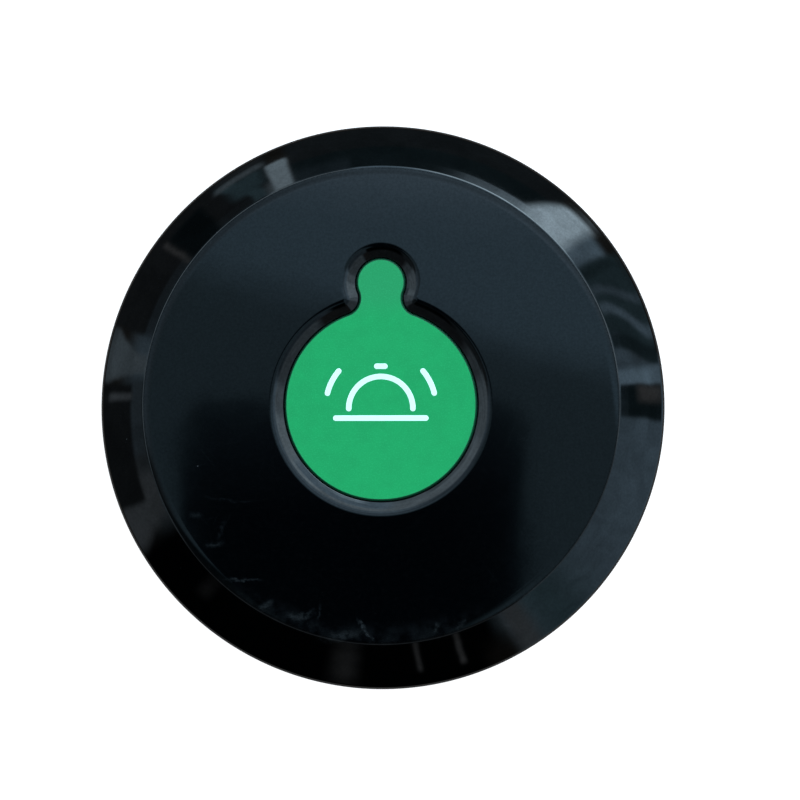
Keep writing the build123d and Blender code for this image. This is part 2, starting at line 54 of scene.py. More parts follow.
# Meshes worked out as whole arrays.
def roundedLine(corners, radii, steps=9, guard=0.04):
    # Straight runs, and at a corner with a radius an arc tangent to both of its runs
    # with a guard point just before and after it.
    corners = np.asarray(corners, float)
    radii = [0.0] + list(radii) + [0.0]
    chain = []
    for k, corner in enumerate(corners):
        radius = radii[k]
        if radius <= 0:
            chain.append(corner[None])
            continue
        back = corners[k - 1] - corner
        ahead = corners[k + 1] - corner
        back, ahead = back / np.linalg.norm(back), ahead / np.linalg.norm(ahead)
        half = np.arccos(np.clip(back @ ahead, -1, 1)) / 2
        reach = radius / np.tan(half)
        centre = corner + (back + ahead) / np.linalg.norm(back + ahead) * radius / np.sin(half)
        first, last = corner + back * reach - centre, corner + ahead * reach - centre
        turn = pi - 2 * half
        t = np.linspace(0, 1, steps)[:, None]
        arc = centre + (np.sin((1 - t) * turn) * first + np.sin(t * turn) * last) / np.sin(turn)
        chain += [corner[None] + back * (reach + guard), arc, corner[None] + ahead * (reach + guard)]
    return np.concatenate(chain)


def denser(line, longest):
    # The same line with no run longer than the given length.
    runs = np.linalg.norm(np.diff(line, axis=0), axis=1)
    counts = np.maximum(np.ceil(runs / longest).astype(int), 1)
    parts = [np.linspace(a, b, n, endpoint=False) for a, b, n in zip(line[:-1], line[1:], counts)]
    return np.concatenate(parts + [line[-1:]])


def show(name, data):
    # A new object in the scene.
    made = bpy.data.objects.new(name, data)
    bpy.context.scene.collection.objects.link(made)
    return made


def addPiece(name, grids, body, slot, nodes=(), sharp=None, attributes=None, finish=None, loop=False):
    # Quads join the neighbours in each grid of points, and the last column to the first;
    # in a loop they join the last row to the first too. The body is a name; where two
    # names and two points are given instead, they are not used and the piece is left without a body.
    points, quads, start = [], [], 0
    for grid in grids:
        rows, columns = grid.shape[:2]
        i = np.arange(rows if loop else rows - 1)[:, None]
        j = np.arange(columns)[None]
        up, side = (i + 1) % rows, (j + 1) % columns
        corners = [i * columns + j, i * columns + side, up * columns + side, up * columns + j]
        quads.append(np.stack([c + start for c in np.broadcast_arrays(*corners)], -1).reshape(-1, 4))
        points.append(grid.reshape(-1, 3))
        start += rows * columns
    mesh = bpy.data.meshes.new(name)
    mesh.from_pydata((np.concatenate(points) * mm).tolist(), [], np.concatenate(quads).tolist())
    for title, values in (attributes or {}).items():
        layer = mesh.attributes.new(title, "FLOAT", "POINT")
        layer.data.foreach_set("value", np.asarray(values, np.float32).ravel())
    shape = bmesh.new()
    shape.from_mesh(mesh)
    bmesh.ops.remove_doubles(shape, verts=shape.verts, dist=2e-7)
    bmesh.ops.dissolve_degenerate(shape, edges=shape.edges, dist=1e-8)
    bmesh.ops.recalc_face_normals(shape, faces=shape.faces)
    shape.to_mesh(mesh)
    shape.free()
    mesh.shade_smooth()
    if sharp:
        mesh.set_sharp_from_angle(angle=radians(sharp))
    mesh.materials.append(finishes[finish or slot])
    piece = show(name, mesh)
    if isinstance(body, str):
        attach(piece, body)
    else:
        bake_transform(piece)
    if nodes:
        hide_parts(*nodes)
    print("piece", name, len(mesh.polygons), "faces")
    return piece


# Shader maths.
class Wire:
    # One shader socket that can stand in Python sums; each sum adds its Math node.
    def __init__(self, tree, socket):
        self.tree, self.socket = tree, socket

    def __abs__(self):
        return maths("ABSOLUTE", self)


# Each operator works with the wire on its left and, reflected, on its right.
operators = dict(add="ADD", sub="SUBTRACT", mul="MULTIPLY", truediv="DIVIDE", pow="POWER")
for title, operation in operators.items():
    setattr(Wire, f"__{title}__", lambda self, other, step=operation: maths(step, self, other))
    setattr(Wire, f"__r{title}__", lambda self, other, step=operation: maths(step, other, self))


def node(tree, kind, settings=None, values=(), output=0):
    # Any shader node: its settings first, then values or wires for its sockets.
    made = tree.nodes.new(kind)
    for title, value in (settings or {}).items():
        setattr(made, title, value)
    pairs = values.items() if isinstance(values, dict) else enumerate(values)
    for key, value in pairs:
        if isinstance(value, Wire):
            tree.links.new(value.socket, made.inputs[key])
        else:
            made.inputs[key].default_value = value
    return Wire(tree, made.outputs[output])


def maths(operation, *values, kind="ShaderNodeMath"):
    # A Math node on numbers and wires, in the tree of the first wire.
    tree = next(value.tree for value in values if isinstance(value, Wire))
    return node(tree, kind, {"operation": operation}, values)


def vectors(operation, *values):
    return maths(operation, *values, kind="ShaderNodeVectorMath")


def greater(first, second):
    # The greater of two wires, or the second where there is no first yet.
    return second if first is None else maths("MAXIMUM", first, second)


def ease(value, low, high, start=0.0, end=1.0):
    # Smooth step from start to end while the value goes from low to high.
    settings = {"interpolation_type": "SMOOTHSTEP"}
    return node(value.tree, "ShaderNodeMapRange", settings, [value, low, high, start, end])


def within(off, half, soft):
    # 1 while the distance from the middle is under the half width, easing to 0 at its edge.
    return ease(abs(off) - half, soft / 2, -soft / 2)


def blendColour(factor, first, second):
    # Mixes two colours, each a wire or four numbers.
    settings = {"data_type": "RGBA"}
    return node(factor.tree, "ShaderNodeMix", settings, {0: factor, 6: first, 7: second}, output=2)


def layers(tone, *coats):
    # The first colour with each further one over it where that one's mask is 1.
    for mask, coat in coats:
        tone = blendColour(mask, tone, coat)
    return tone


def colour(red, green, blue):
    return (red, green, blue, 1.0)


def millimetres(tree):
    # Object coordinates in millimetres.
    place = node(tree, "ShaderNodeTexCoord", output="Object")
    return node(tree, "ShaderNodeVectorMath", {"operation": "SCALE"}, {"Vector": place, "Scale": 1000.0})


def axes(vector):
    # The three numbers of a vector.
    first = node(vector.tree, "ShaderNodeSeparateXYZ", None, [vector])
    return [Wire(vector.tree, output) for output in first.socket.node.outputs]


def grain(vector, size, detail=2.0, roughness=0.5, distortion=0.0):
    # Noise about 0.5 whose blotches are the given number of millimetres across.
    values = {"Vector": vector, "Scale": 1.0 / size, "Detail": detail, "Roughness": roughness,
              "Distortion": distortion}
    return node(vector.tree, "ShaderNodeTexNoise", None, values)


def stretched(vector, turn, scale, centre=(0.0, 0.0, 0.0)):
    # Coordinates from the centre, turned about an upright axis, then scaled along each axis.
    turned = node(vector.tree, "ShaderNodeVectorRotate", {"rotation_type": "Z_AXIS"},
                  {"Vector": vectors("SUBTRACT", vector, centre), "Angle": -radians(turn)})
    return vectors("MULTIPLY", turned, scale)


def hairlines(vector, turns, width, length, rarity, seed=0.0):
    # Scratches: noise drawn out along each turn and kept only where it is near its top.
    total, apart, fade = None, (17.0, 31.0), 0.05
    for k, turn in enumerate(turns):
        moved = vectors("ADD", vector, (seed + apart[0] * k, apart[1] * k, 0.0))
        drawn = stretched(moved, turn, (1 / length, 1 / width, 0.0))
        total = greater(total, ease(grain(drawn, 1.0, 1.0), rarity, rarity + fade))
    return total


def specks(vector, cell, radius, share):
    # Round dots: one in each Voronoi cell, kept in the given share of the cells.
    settings = {"voronoi_dimensions": "3D"}
    values = {"Vector": vector, "Scale": 1.0 / cell}
    near = node(vector.tree, "ShaderNodeTexVoronoi", settings, values, output="Distance")
    chance = axes(node(vector.tree, "ShaderNodeTexVoronoi", settings, values, output="Color"))
    core, step = 0.5, 0.01  # the full part of a dot's radius, and the width of the choice
    dot = ease(near, radius / cell, core * radius / cell)
    return dot * ease(chance[0], 1 - share, 1 - share + step)


def camelCase(slot):
    # A slot's name without its underscores, for a material's name.
    first, *others = slot.split("_")
    return first + "".join(part.title() for part in others)


def newMaterial(name):
    made = bpy.data.materials.new(name)
    made.use_nodes = True
    return made, made.node_tree, made.node_tree.nodes["Principled BSDF"]


finishes = {}


def newFinish(slot):
    # Puts a new material in the slot and gives its shader, and places in millimetres.
    finishes[slot], tree, shader = newMaterial(camelCase(slot))
    return shader, millimetres(tree)


def feed(shader, **sockets):
    # Plain numbers stay on the shader's own sockets, wires are linked.
    names = {"base": "Base Color", "rough": "Roughness", "metal": "Metallic", "index": "IOR",
             "normal": "Normal", "coat": "Coat Weight", "clear": "Transmission Weight"}
    for title, value in sockets.items():
        socket = shader.inputs[names[title]]
        if isinstance(value, Wire):
            value.tree.links.new(value.socket, socket)
        else:
            socket.default_value = value


def relief(height, depth, under=None, invert=False):
    # Bump with its depth in millimetres, over the bump under it where one is given.
    values = {"Strength": 1.0, "Distance": depth * mm, "Height": height}
    if under:
        values["Normal"] = under
    return node(height.tree, "ShaderNodeBump", {"invert": invert}, values)


def patchy(vector, size, low, high, detail=4.0, roughness=0.6):
    # Patches: 0 where the grain is under the low threshold, 1 where it is over the high one.
    return ease(grain(vector, size, detail, roughness), low, high)


# Gloss black cover finish.
coverFinish = dict(
    black=colour(0.00008, 0.00016, 0.0002),
    scuff=colour(0.020, 0.025, 0.028),
    dust=colour(0.09, 0.10, 0.11),
    index=1.50,
    gloss=0.035,
    # each a grain and its strength or depth: cloudy gloss, uneven polish, the moulding's waves
    haze=((7.0, 3.0, 0.55), 0.03), skin=((0.26, 0.32, 0.68, 4.0, 0.75), 0.30),
    waves=((5.5, 1.5, 0.45), 0.006), peel=((0.9, 2.0), 0.00025),
    nickDepth=0.0015,
    # the rubbed band lies on the rounded edge of the top face, on the -Y side only
    rubbedFrom=(22.4, 24.2), rubbedTo=(25.2, 24.6), rubbedY=(-17.0, -23.0), rubbedX=(13.0, 5.0),
    patches=(1.5, 0.34, 0.70),
    faceFrom=(16.0, 17.0), dustFrom=(12.0, 14.0),  # heights
    hairs=((12, 68, 128), 0.05, 7.0, 0.76, 40.0),
    specks=(1.9, 0.07, 0.12),
    bloom=(0.5, 0.45, 0.75, 3.0, 0.65),
    share=dict(rubbed=0.13, swipes=0.9, hairs=0.08, bloom=0.004, dust=0.4),
    dulled=dict(wear=0.12, dust=0.3),
    waver=((0.7, 3.0, 0.6), 0.9), broken=((0.45, 4.0, 0.7), (0.36, 0.62, 0.08, 1.0)),
    sides=(0.5, 1.2), ends=(0.35, 0.5),  # half of a swipe and its soft part, as shares
    # middle x and y, turn, length, width, bend and strength of each swipe on the top face
    swipes=[
        (-14.3, -18.25, -2, 4.2, 0.20, 0.01, 0.50), (-8.4, -22.1, 6, 3.4, 0.50, 0.16, 0.55),
        (-1.6, -23.5, -54, 3.2, 0.26, 0.06, 0.75), (-4.0, -24.1, 12, 5.2, 0.55, 0.02, 0.35),
        (5.9, -23.2, 68, 1.3, 0.34, 0.0, 0.45), (8.4, -22.9, 40, 1.6, 0.34, 0.1, 0.35),
        (-12.0, -21.0, 30, 2.2, 0.45, 0.1, 0.40), (-17.3, -14.6, 10, 2.2, 0.40, 0.05, 0.30),
        (-19.3, -11.6, -10, 1.6, 0.45, 0.0, 0.20), (-6.4, -21.6, 80, 1.8, 0.22, -0.1, 0.28),
        (-15.6, -10.0, -4, 6.0, 0.20, 0.02, 0.13), (-16.6, -13.0, 70, 2.6, 0.35, 0.05, 0.16),
    ],
)


def coverSwipes(place):
    # Short bent bars that fade at their ends; the strongest counts where two cross.
    c, total = coverFinish, None
    (side, sideSoft), (end, endSoft), (noise, sway) = c["sides"], c["ends"], c["waver"]
    waver = (grain(place, *noise) - 0.5) * sway
    for atX, atY, turn, length, width, bend, strength in c["swipes"]:
        along, aside = axes(stretched(place, turn, (1, 1, 1), (atX, atY, 0)))[:2]
        off = aside - along * along * bend + waver
        bar = within(off, width * side, width * sideSoft) * within(along, length * end, length * endSoft)
        total = greater(total, bar * strength)
    noise, step = c["broken"]
    return total * ease(grain(place, *noise), *step)


def glossBlack():
    (shader, place), c = newFinish("gloss_black_cover"), coverFinish
    share, dulled = c["share"], c["dulled"]
    x, y, z = axes(place)
    reach = (x * x + y * y) ** 0.5
    onFace = ease(z, *c["faceFrom"])
    band = ease(reach, *c["rubbedFrom"]) * ease(reach, *c["rubbedTo"])
    rubbed = band * (ease(y, *c["rubbedY"]) * ease(x, *c["rubbedX"])) * patchy(place, *c["patches"])
    hairs = hairlines(place, *c["hairs"]) * onFace
    dust = specks(place, *c["specks"]) * ease(z, *c["dustFrom"])
    bloom = patchy(place, *c["bloom"]) * onFace
    wear = rubbed * share["rubbed"] + coverSwipes(place) * share["swipes"] + hairs * share["hairs"]
    cloud = bloom * share["bloom"] + dust * share["dust"]
    tone = layers(c["black"], (wear, c["scuff"]), (cloud, c["dust"]))
    (haze, cloudy), (skin, polish), (waves, waveDepth), (peel, peelDepth) = [
        c[title] for title in ("haze", "skin", "waves", "peel")]
    rough = c["gloss"] + grain(place, *haze) * cloudy + wear * dulled["wear"] + dust * dulled["dust"]
    bumps = relief(grain(place, *peel), peelDepth, relief(grain(place, *waves), waveDepth))
    bumps = relief(wear, c["nickDepth"], bumps, invert=True)
    feed(shader, base=tone, rough=rough, index=c["index"], normal=bumps, coat=patchy(place, *skin) * polish)


# Green film, print and key.
filmFinish = dict(
    green=colour(0.0008, 0.268, 0.0775),
    deep=colour(0.0006, 0.250, 0.0725),
    lobe=colour(0.0060, 0.236, 0.078),
    # painted shade: the film's cut side takes this deep green for the shade at the key's edge and in the gap
    # round it
    edge=colour(0.0002, 0.036, 0.016),
    grain=colour(0.03, 0.44, 0.17),
    speck=colour(0.45, 0.75, 0.62),
    clouds=(1.6, 0.35, 0.65, 4.0, 0.65),
    lobeFrom=(8.5, 12.0),
    weave=(0.16, 3.0, 0.7), depth=0.006, grains=(0.46, 0.72), specks=(2.4, 0.07, 0.10),
    share=dict(grain=0.26, edge=0.97, speck=0.8),
    gloss=0.44, dulled=dict(grain=0.12, speck=0.1), index=1.36,
)


def greenFilm():
    (shader, place), c = newFinish("green_film"), filmFinish
    share, dulled = c["share"], c["dulled"]
    y = axes(place)[1]
    fine = grain(place, *c["weave"])
    cut = node(place.tree, "ShaderNodeAttribute", {"attribute_name": "shadedCutEdge"}, output="Fac")
    speck = specks(place, *c["specks"])
    # the cut side is painted deep green, as shade
    tone = layers(
        c["green"], (patchy(place, *c["clouds"]), c["deep"]), (ease(y, *c["lobeFrom"]), c["lobe"]),
        (ease(fine, *c["grains"]) * share["grain"], c["grain"]), (cut * share["edge"], c["edge"]),
        (speck * share["speck"], c["speck"]))
    rough = c["gloss"] + fine * dulled["grain"] - speck * dulled["speck"]
    feed(shader, base=tone, rough=rough, index=c["index"], normal=relief(fine, c["depth"]))


printFinish = dict(
    ink=colour(0.60, 0.93, 0.87), thin=colour(0.42, 0.80, 0.68), weave=(0.22, 3.0, 0.7),
    pinholes=(0.60, 0.78), depth=0.005, share=0.6, gloss=0.5, dulled=0.15, index=1.46,
)


def paleInk():
    # The film's weave shows through as pinholes where the ink is thin.
    (shader, place), c = newFinish("pale_ink"), printFinish
    weave = grain(place, *c["weave"])
    tone = blendColour(ease(weave, *c["pinholes"]) * c["share"], c["ink"], c["thin"])
    feed(shader, base=tone, rough=c["gloss"] + weave * c["dulled"], index=c["index"],
         normal=relief(weave, c["depth"]))


# Plastics and rubber: two tones, roughness, the grain's size and depth, index, share of hairlines.
plastics = {
    "black_key": ((0.004, 0.0044, 0.0048), (0.006, 0.0064, 0.007), 0.36, 0.18, 0.004, 1.52, 0.0),
    "black_base": ((0.0075, 0.008, 0.0085), (0.011, 0.0115, 0.012), 0.42, 0.22, 0.010, 1.52, 0.35),
    "black_rubber": ((0.014, 0.014, 0.0145), (0.022, 0.022, 0.022), 0.72, 0.30, 0.016, 1.45, 0.2),
    "black_part": ((0.012, 0.012, 0.013), (0.018, 0.018, 0.019), 0.45, 0.15, 0.006, 1.52, 0.0),
    "chip_resin": ((0.016, 0.016, 0.018), (0.024, 0.024, 0.026), 0.55, 0.10, 0.008, 1.52, 0.0),
}
plasticLook = dict(
    fine=(3.0, 0.65), cloud=(3.0, 0.6),  # detail and roughness of the grain and of its clouds
    clouds=22, cloudTones=(0.35, 0.68),  # how many grains a cloud is wide, and its thresholds
    hairs=((20, 75, 140), 0.09, 3.0, 0.70, 11.0), hairTone=colour(0.06, 0.062, 0.065),
    dulled=dict(cloud=0.10, grain=0.06, hairs=0.1),
)


def grainedPlastic(slot, first, second, rough, size, depth, index, streak):
    (shader, place), c = newFinish(slot), plasticLook
    dulled = c["dulled"]
    fine, cloud = grain(place, size, *c["fine"]), grain(place, size * c["clouds"], *c["cloud"])
    tone = blendColour(ease(cloud, *c["cloudTones"]), colour(*first), colour(*second))
    gloss = rough + cloud * dulled["cloud"] + fine * dulled["grain"]
    if streak:
        rub = hairlines(place, *c["hairs"]) * streak
        tone = blendColour(rub, tone, c["hairTone"])
        gloss = gloss + rub * dulled["hairs"]
    feed(shader, base=tone, rough=gloss, index=index, normal=relief(fine, depth))


# Plated sheet and wire: two tones, roughness, and the turn, size and depth of the draw lines.
metals = {
    "tinned_metal": ((0.72, 0.72, 0.69), (0.60, 0.60, 0.57), 0.24, 0.0, 0.08, 0.002),
    "spring_steel": ((0.58, 0.59, 0.61), (0.48, 0.49, 0.51), 0.20, 0.0, 0.08, 0.002),
    "plated_steel": ((0.64, 0.66, 0.70), (0.55, 0.57, 0.60), 0.26, 90.0, 0.08, 0.002),
    "copper_wire": ((0.78, 0.36, 0.17), (0.62, 0.26, 0.12), 0.18, 90.0, 0.08, 0.002),
    "battery_steel": ((0.66, 0.66, 0.65), (0.56, 0.56, 0.55), 0.22, 90.0, 0.08, 0.002),
    "solder_alloy": ((0.68, 0.68, 0.70), (0.52, 0.52, 0.54), 0.30, 0.0, 0.3, 0.01),
}
metalLook = dict(drawn=(0.12, 1.0, 1.0), fine=(3.0, 0.6), dull=(1.3, 0.45, 0.72),
                 dulled=dict(lines=0.14, spots=0.12))


def brushedMetal(slot, first, second, rough, turn, size, depth):
    # Fine draw lines along one direction and a few dull spots.
    (shader, place), dulled = newFinish(slot), metalLook["dulled"]
    lines = grain(stretched(place, turn, metalLook["drawn"]), size, *metalLook["fine"])
    dull = patchy(place, *metalLook["dull"])
    tone = blendColour(dull, colour(*first), colour(*second))
    gloss = rough + lines * dulled["lines"] + dull * dulled["spots"]
    feed(shader, base=tone, rough=gloss, metal=1.0, normal=relief(lines, depth))


boardFinish = dict(
    mask=colour(0.012, 0.115, 0.045), track=colour(0.028, 0.20, 0.075),
    glass=colour(0.03, 0.15, 0.07), weavePitch=9.0, weave=(0.2, 1.0), weaveShare=0.25,
    tracks=(0.28, 0.55), trackEdge=(0.10, 0.07), height=dict(track=0.7, weave=0.15), depth=0.02,
    gloss=0.30, cloud=(1.2, 0.12), index=1.5,
)


def boardLaminate():
    # Solder mask over a glass weave, with tracks that stand slightly proud.
    (shader, place), c = newFinish("board_laminate"), boardFinish
    x, y = axes(place)[:2]
    weave = maths("SINE", x * c["weavePitch"]) * maths("SINE", y * c["weavePitch"])
    scale, randomness = c["tracks"]
    tracks = node(place.tree, "ShaderNodeTexVoronoi", {"feature": "DISTANCE_TO_EDGE"},
                  {"Vector": place, "Scale": scale, "Randomness": randomness}, output="Distance")
    copper = ease(tracks, *c["trackEdge"])
    tone = layers(c["mask"], (copper, c["track"]), (ease(weave, *c["weave"]) * c["weaveShare"], c["glass"]))
    size, cloudy = c["cloud"]
    height = copper * c["height"]["track"] + weave * c["height"]["weave"]
    feed(shader, base=tone, rough=c["gloss"] + grain(place, size) * cloudy, index=c["index"],
         normal=relief(height, c["depth"]))


ceramicFinish = dict(
    rows=(-2.5, 0.5), endFrom=(0.46, 0.52),  # the parts' rows in y, and where their ends begin
    body=colour(0.30, 0.21, 0.12), pale=colour(0.42, 0.32, 0.20), tin=colour(0.70, 0.70, 0.68),
    grain=((0.12, 3.0), 0.006), gloss=0.5, polished=0.22, dulled=0.1,
)


def ceramicParts():
    # Chip resistors and capacitors: tan bodies with tinned ends.
    (shader, place), c = newFinish("ceramic_parts"), ceramicFinish
    y = axes(place)[1]
    end = ease(maths("MINIMUM", *[abs(y - row) for row in c["rows"]]), *c["endFrom"])
    noise, depth = c["grain"]
    fine = grain(place, *noise)
    tone = layers(c["body"], (fine, c["pale"]), (end, c["tin"]))
    feed(shader, base=tone, rough=c["gloss"] - end * c["polished"] + fine * c["dulled"],
         metal=end, normal=relief(fine, depth))


sleeveFinish = dict(
    blue=colour(0.035, 0.085, 0.25), pale=colour(0.05, 0.12, 0.32), gold=colour(0.62, 0.47, 0.16),
    bandFrom=(6.4, 6.6), bandTo=(11.2, 11.0), ripple=((0.8, 3.0), 0.03), along=(1.0, 0.25, 0.25),
    gloss=0.22, dulled=0.12, index=1.5,
)


def batteryPrint():
    # Shrunk sleeve: a blue ground with one plain metallic band, and faint shrink ripples.
    (shader, place), c = newFinish("battery_print"), sleeveFinish
    x = axes(place)[0]
    band = ease(x, *c["bandFrom"]) * ease(x, *c["bandTo"])
    noise, depth = c["ripple"]
    ripple = grain(stretched(place, 0.0, c["along"]), *noise)
    tone = layers(c["blue"], (ripple, c["pale"]), (band, c["gold"]))
    feed(shader, base=tone, rough=c["gloss"] + ripple * c["dulled"], metal=band, index=c["index"],
         normal=relief(ripple, depth))


resinFinish = dict(
    milky=colour(0.70, 0.86, 0.76), clear=colour(0.80, 0.92, 0.84), milk=((0.5, 3.0), 0.004),
    gloss=0.12, dulled=0.12, through=0.75, index=1.5,
)


def clearResin():
    # Cast lens: slightly milky resin.
    (shader, place), c = newFinish("clear_resin"), resinFinish
    noise, depth = c["milk"]
    milk = grain(place, *noise)
    feed(shader, base=blendColour(milk, c["milky"], c["clear"]), rough=c["gloss"] + milk * c["dulled"],
         index=c["index"], clear=c["through"], normal=relief(milk, depth))


for make in (glossBlack, greenFilm, paleInk, boardLaminate, ceramicParts, batteryPrint, clearResin):
    make()
for make, rows in ((grainedPlastic, plastics), (brushedMetal, metals)):
    for slot, values in rows.items():
        make(slot, *values)
print("finishes made:", len(finishes))

# The key's outline, shared by the cover, the film and the collar.
keyShape = dict(
    disc=9.95, lobe=2.45, lobeAt=12.78, neck=1.9,
    # points on the right half of the disc, neck and lobe arcs, and a circle's turns at their ends
    columns=(240, 40, 80), circleStops=(-90.0, 66.0, 72.0, 90.0),
)


def keyholeRings(grow):
    # For each grow value, the outline moved outwards by it: a disc arc, a hollow neck
    # arc and a lobe arc up the +X side, then the same mirrored back down. The neck's
    # centre lies at disc + neck from the disc's centre and lobe + neck from the lobe's.
    grow = np.asarray(grow, float)[:, None]
    far = keyShape["lobeAt"]
    disc, lobe = keyShape["disc"] + grow, keyShape["lobe"] + grow
    neck = np.maximum(keyShape["neck"] - grow, 0)
    toDisc, toLobe = disc + neck, lobe + neck
    neckY = (toDisc**2 - toLobe**2 + far**2) / (2 * far)
    neckX = np.sqrt(toDisc**2 - neckY**2)
    low, high = np.arctan2(neckY, neckX), np.arctan2(neckY - far, neckX)
    starts, ends = (-pi / 2, low + pi, high), (low, high + pi, pi / 2)
    centres, radii = ((0, 0), (neckX, neckY), (0, far)), (disc, neck, lobe)
    arcs = []
    for start, end, (atX, atY), radius, n in zip(starts, ends, centres, radii, keyShape["columns"]):
        angle = start + (end - start) * np.linspace(0, 1, n, endpoint=False)
        arcs.append(np.stack([atX + radius * np.cos(angle), atY + radius * np.sin(angle)], -1))
    half = np.concatenate(arcs, 1)
    crown = np.stack([0 * lobe, far + lobe], -1)
    mirrored = half[:, :0:-1] * np.array([-1.0, 1.0])
    return np.concatenate([half, crown, mirrored], 1)


def circleRings(radius):
    # For each radius, a circle whose points face the outline's points.
    stops = np.radians(keyShape["circleStops"])
    parts = zip(stops[:-1], stops[1:], keyShape["columns"])
    half = np.concatenate([np.linspace(a, b, n, endpoint=False) for a, b, n in parts])
    angle = np.concatenate([half, [pi / 2], pi - half[:0:-1]])
    return np.asarray(radius, float)[:, None, None] * np.stack([np.cos(angle), np.sin(angle)], -1)[None]


def lift(rings, heights):
    # Gives flat rings their heights, or all of them one height.
    z = np.broadcast_to(np.asarray(heights, float)[..., None], rings.shape[:2])
    return np.concatenate([rings, z[..., None]], -1)


def ruled(outer, inner, count):
    # Rings between two rings at even shares; the first and the last lie close to the two.
    near = 0.004
    t = np.concatenate([[near], np.linspace(0, 1, count)[1:-1], [1 - near]])[:, None, None]
    return outer[None] * (1 - t) + inner[None] * t


# Cover: one closed shell from the rim over the top into the opening and back inside.
coverSize = dict(
    radius=30.0, low=3.3, shoulder=13.3, draft=0.2, face=24.9, top=17.1,
    faceFall=0.030, fallWidth=0.5,  # the top face falls a little at its edge
    bevelCrown=0.16,  # the bevel swells a little between its two edges
    rounds=(0.4, 1.0, 38.0, 0.55, 13.5),  # rim, shoulder, bevel, edge of the top face, its fall
    dishReach=1.12, dishLow=16.67, gap=0.22, dishRounds=(2.8, 0.12, 0, 0, 0, 0),
    flatRuns=(0.8, 1.2),  # how far the two profiles reach over the flat face
    ceiling=15.1, innerRadius=28.0, ceilingRadius=24.215, innerShoulder=12.32, innerLow=3.4,
    land=(26.9, 5.6, 7.6), collar=(1.4, 2.4, 13.6),
    arcSteps=(11, 12), longest=(1.0, 3.0), rows=(9, 4), dishGuard=0.02,
)


def coverShell():
    # Circles follow the profile's radius and height up to the top face, keyhole rings
    # follow reach and height through the dish, the opening and the collar, and
    # circles again line the inside down to the land for the seal.
    c = coverSize
    (outerSteps, dishSteps), (faceRows, ceilingRows) = c["arcSteps"], c["rows"]
    (short, long), dishGuard = c["longest"], c["dishGuard"]
    top, ceiling, inner, gap = c["top"], c["ceiling"], c["innerRadius"], c["gap"]
    flat, (outerRun, dishRun) = c["face"] - c["fallWidth"], c["flatRuns"]
    low = np.array([c["radius"] - c["draft"], c["shoulder"]])
    high = np.array([c["face"], top - c["faceFall"]])
    across = np.array([high[1] - low[1], low[0] - high[0]]) / np.linalg.norm(high - low)
    swell = (low + high) / 2 + across * c["bevelCrown"]
    corners = [(inner, c["low"]), (c["radius"], c["low"]), low, swell, high, (flat, top),
               (flat - outerRun, top)]
    outside = denser(roundedLine(corners, c["rounds"], outerSteps), short)
    collar, collarOuter, collarLow = c["collar"]
    corners = [(c["dishReach"] + dishRun, top), (c["dishReach"], top), (gap, c["dishLow"]), (gap, ceiling),
               (collar, ceiling), (collar, collarLow), (collarOuter, collarLow), (collarOuter, ceiling)]
    dish = denser(roundedLine(corners, c["dishRounds"], dishSteps, dishGuard), short)
    land, landLow, landHigh = c["land"]
    corners = [(c["ceilingRadius"], ceiling), (inner, c["innerShoulder"]), (inner, landHigh),
               (land, landHigh), (land, landLow), (inner, landLow), (inner, c["innerLow"])]
    lining = denser(np.array(corners), long)
    outer, middle, inside = [lift(rings(line[:, 0]), line[:, 1]) for rings, line in (
        (circleRings, outside), (keyholeRings, dish), (circleRings, lining))]
    grid = np.concatenate([outer, ruled(outer[-1], middle[0], faceRows), middle,
                           ruled(middle[-1], inside[0], ceilingRows), inside])
    addPiece("coverShell", [grid], "housing", "gloss_black_cover", ["top_cover"], sharp=36, loop=True)


coverShell()

# What stands inside the cover: bosses, battery cradle, contact holders and bayonet ledges.
fittingSize = dict(
    bossAngles=(90.0, 180.0, 0.0), bossCircle=20.5, bossRadius=2.4, pilot=1.0, pilotDepth=5.0,
    pilotTip=0.4, bossRounds=(0, 0.1, 0.15, 0), bossSteps=4, sunk=0.05,
    boardTop=8.4, batteryX=0.65, batteryY=-14.518, batteryZ=7.95, cradleSpread=17.5,
    cradleThick=1.6, cradleHalf=6.05, cradleRadius=5.3, cradleLow=8.55, cradleColumns=97,
    holders=(15.1, -16.6), holderOuter=(1.0, 3.8), slotHalf=(0.25, 3.05), holderLow=13.5,
    ledgeAngles=(30.0, 150.0, 270.0), ledge=(26.9, 28.1, 3.6, 4.4), ledgeSpan=24.0, stopTop=5.6,
    stopStarts=(-14.0, 36.0), stopSpan=3.0, stopColumns=6,
)
fittingTop = coverSize["ceiling"] + fittingSize["sunk"]


def spun(profile, centre, count=64):
    # A profile of radius and height turned about an upright axis at the centre.
    angle = np.linspace(0, 2 * pi, count, endpoint=False)
    profile = np.asarray(profile, float)
    x = centre[0] + profile[:, :1] * np.cos(angle)
    y = centre[1] + profile[:, :1] * np.sin(angle)
    return np.stack([x, y, np.broadcast_to(profile[:, 1:], x.shape)], -1)


def onCircle(radius, degrees):
    # The place at a radius and a turn.
    return radius * cos(radians(degrees)), radius * sin(radians(degrees))


def capped(rings):
    # Rings of points, with each end closed at the mean of its ring.
    ends = [ring.mean(0, keepdims=True).repeat(len(ring), 0)[None] for ring in (rings[0], rings[-1])]
    return np.concatenate([ends[0], rings, ends[1]])


def sector(inner, outer, low, high, start, span, count=24):
    # A block between two radii and two heights, carried along an arc of the given degrees.
    angle = np.radians(np.linspace(start, start + span, count))
    section = np.array([(inner, low), (outer, low), (outer, high), (inner, high)])
    x, y = np.cos(angle)[:, None] * section[:, 0], np.sin(angle)[:, None] * section[:, 0]
    return capped(np.stack([x, y, np.broadcast_to(section[:, 1], x.shape)], -1))


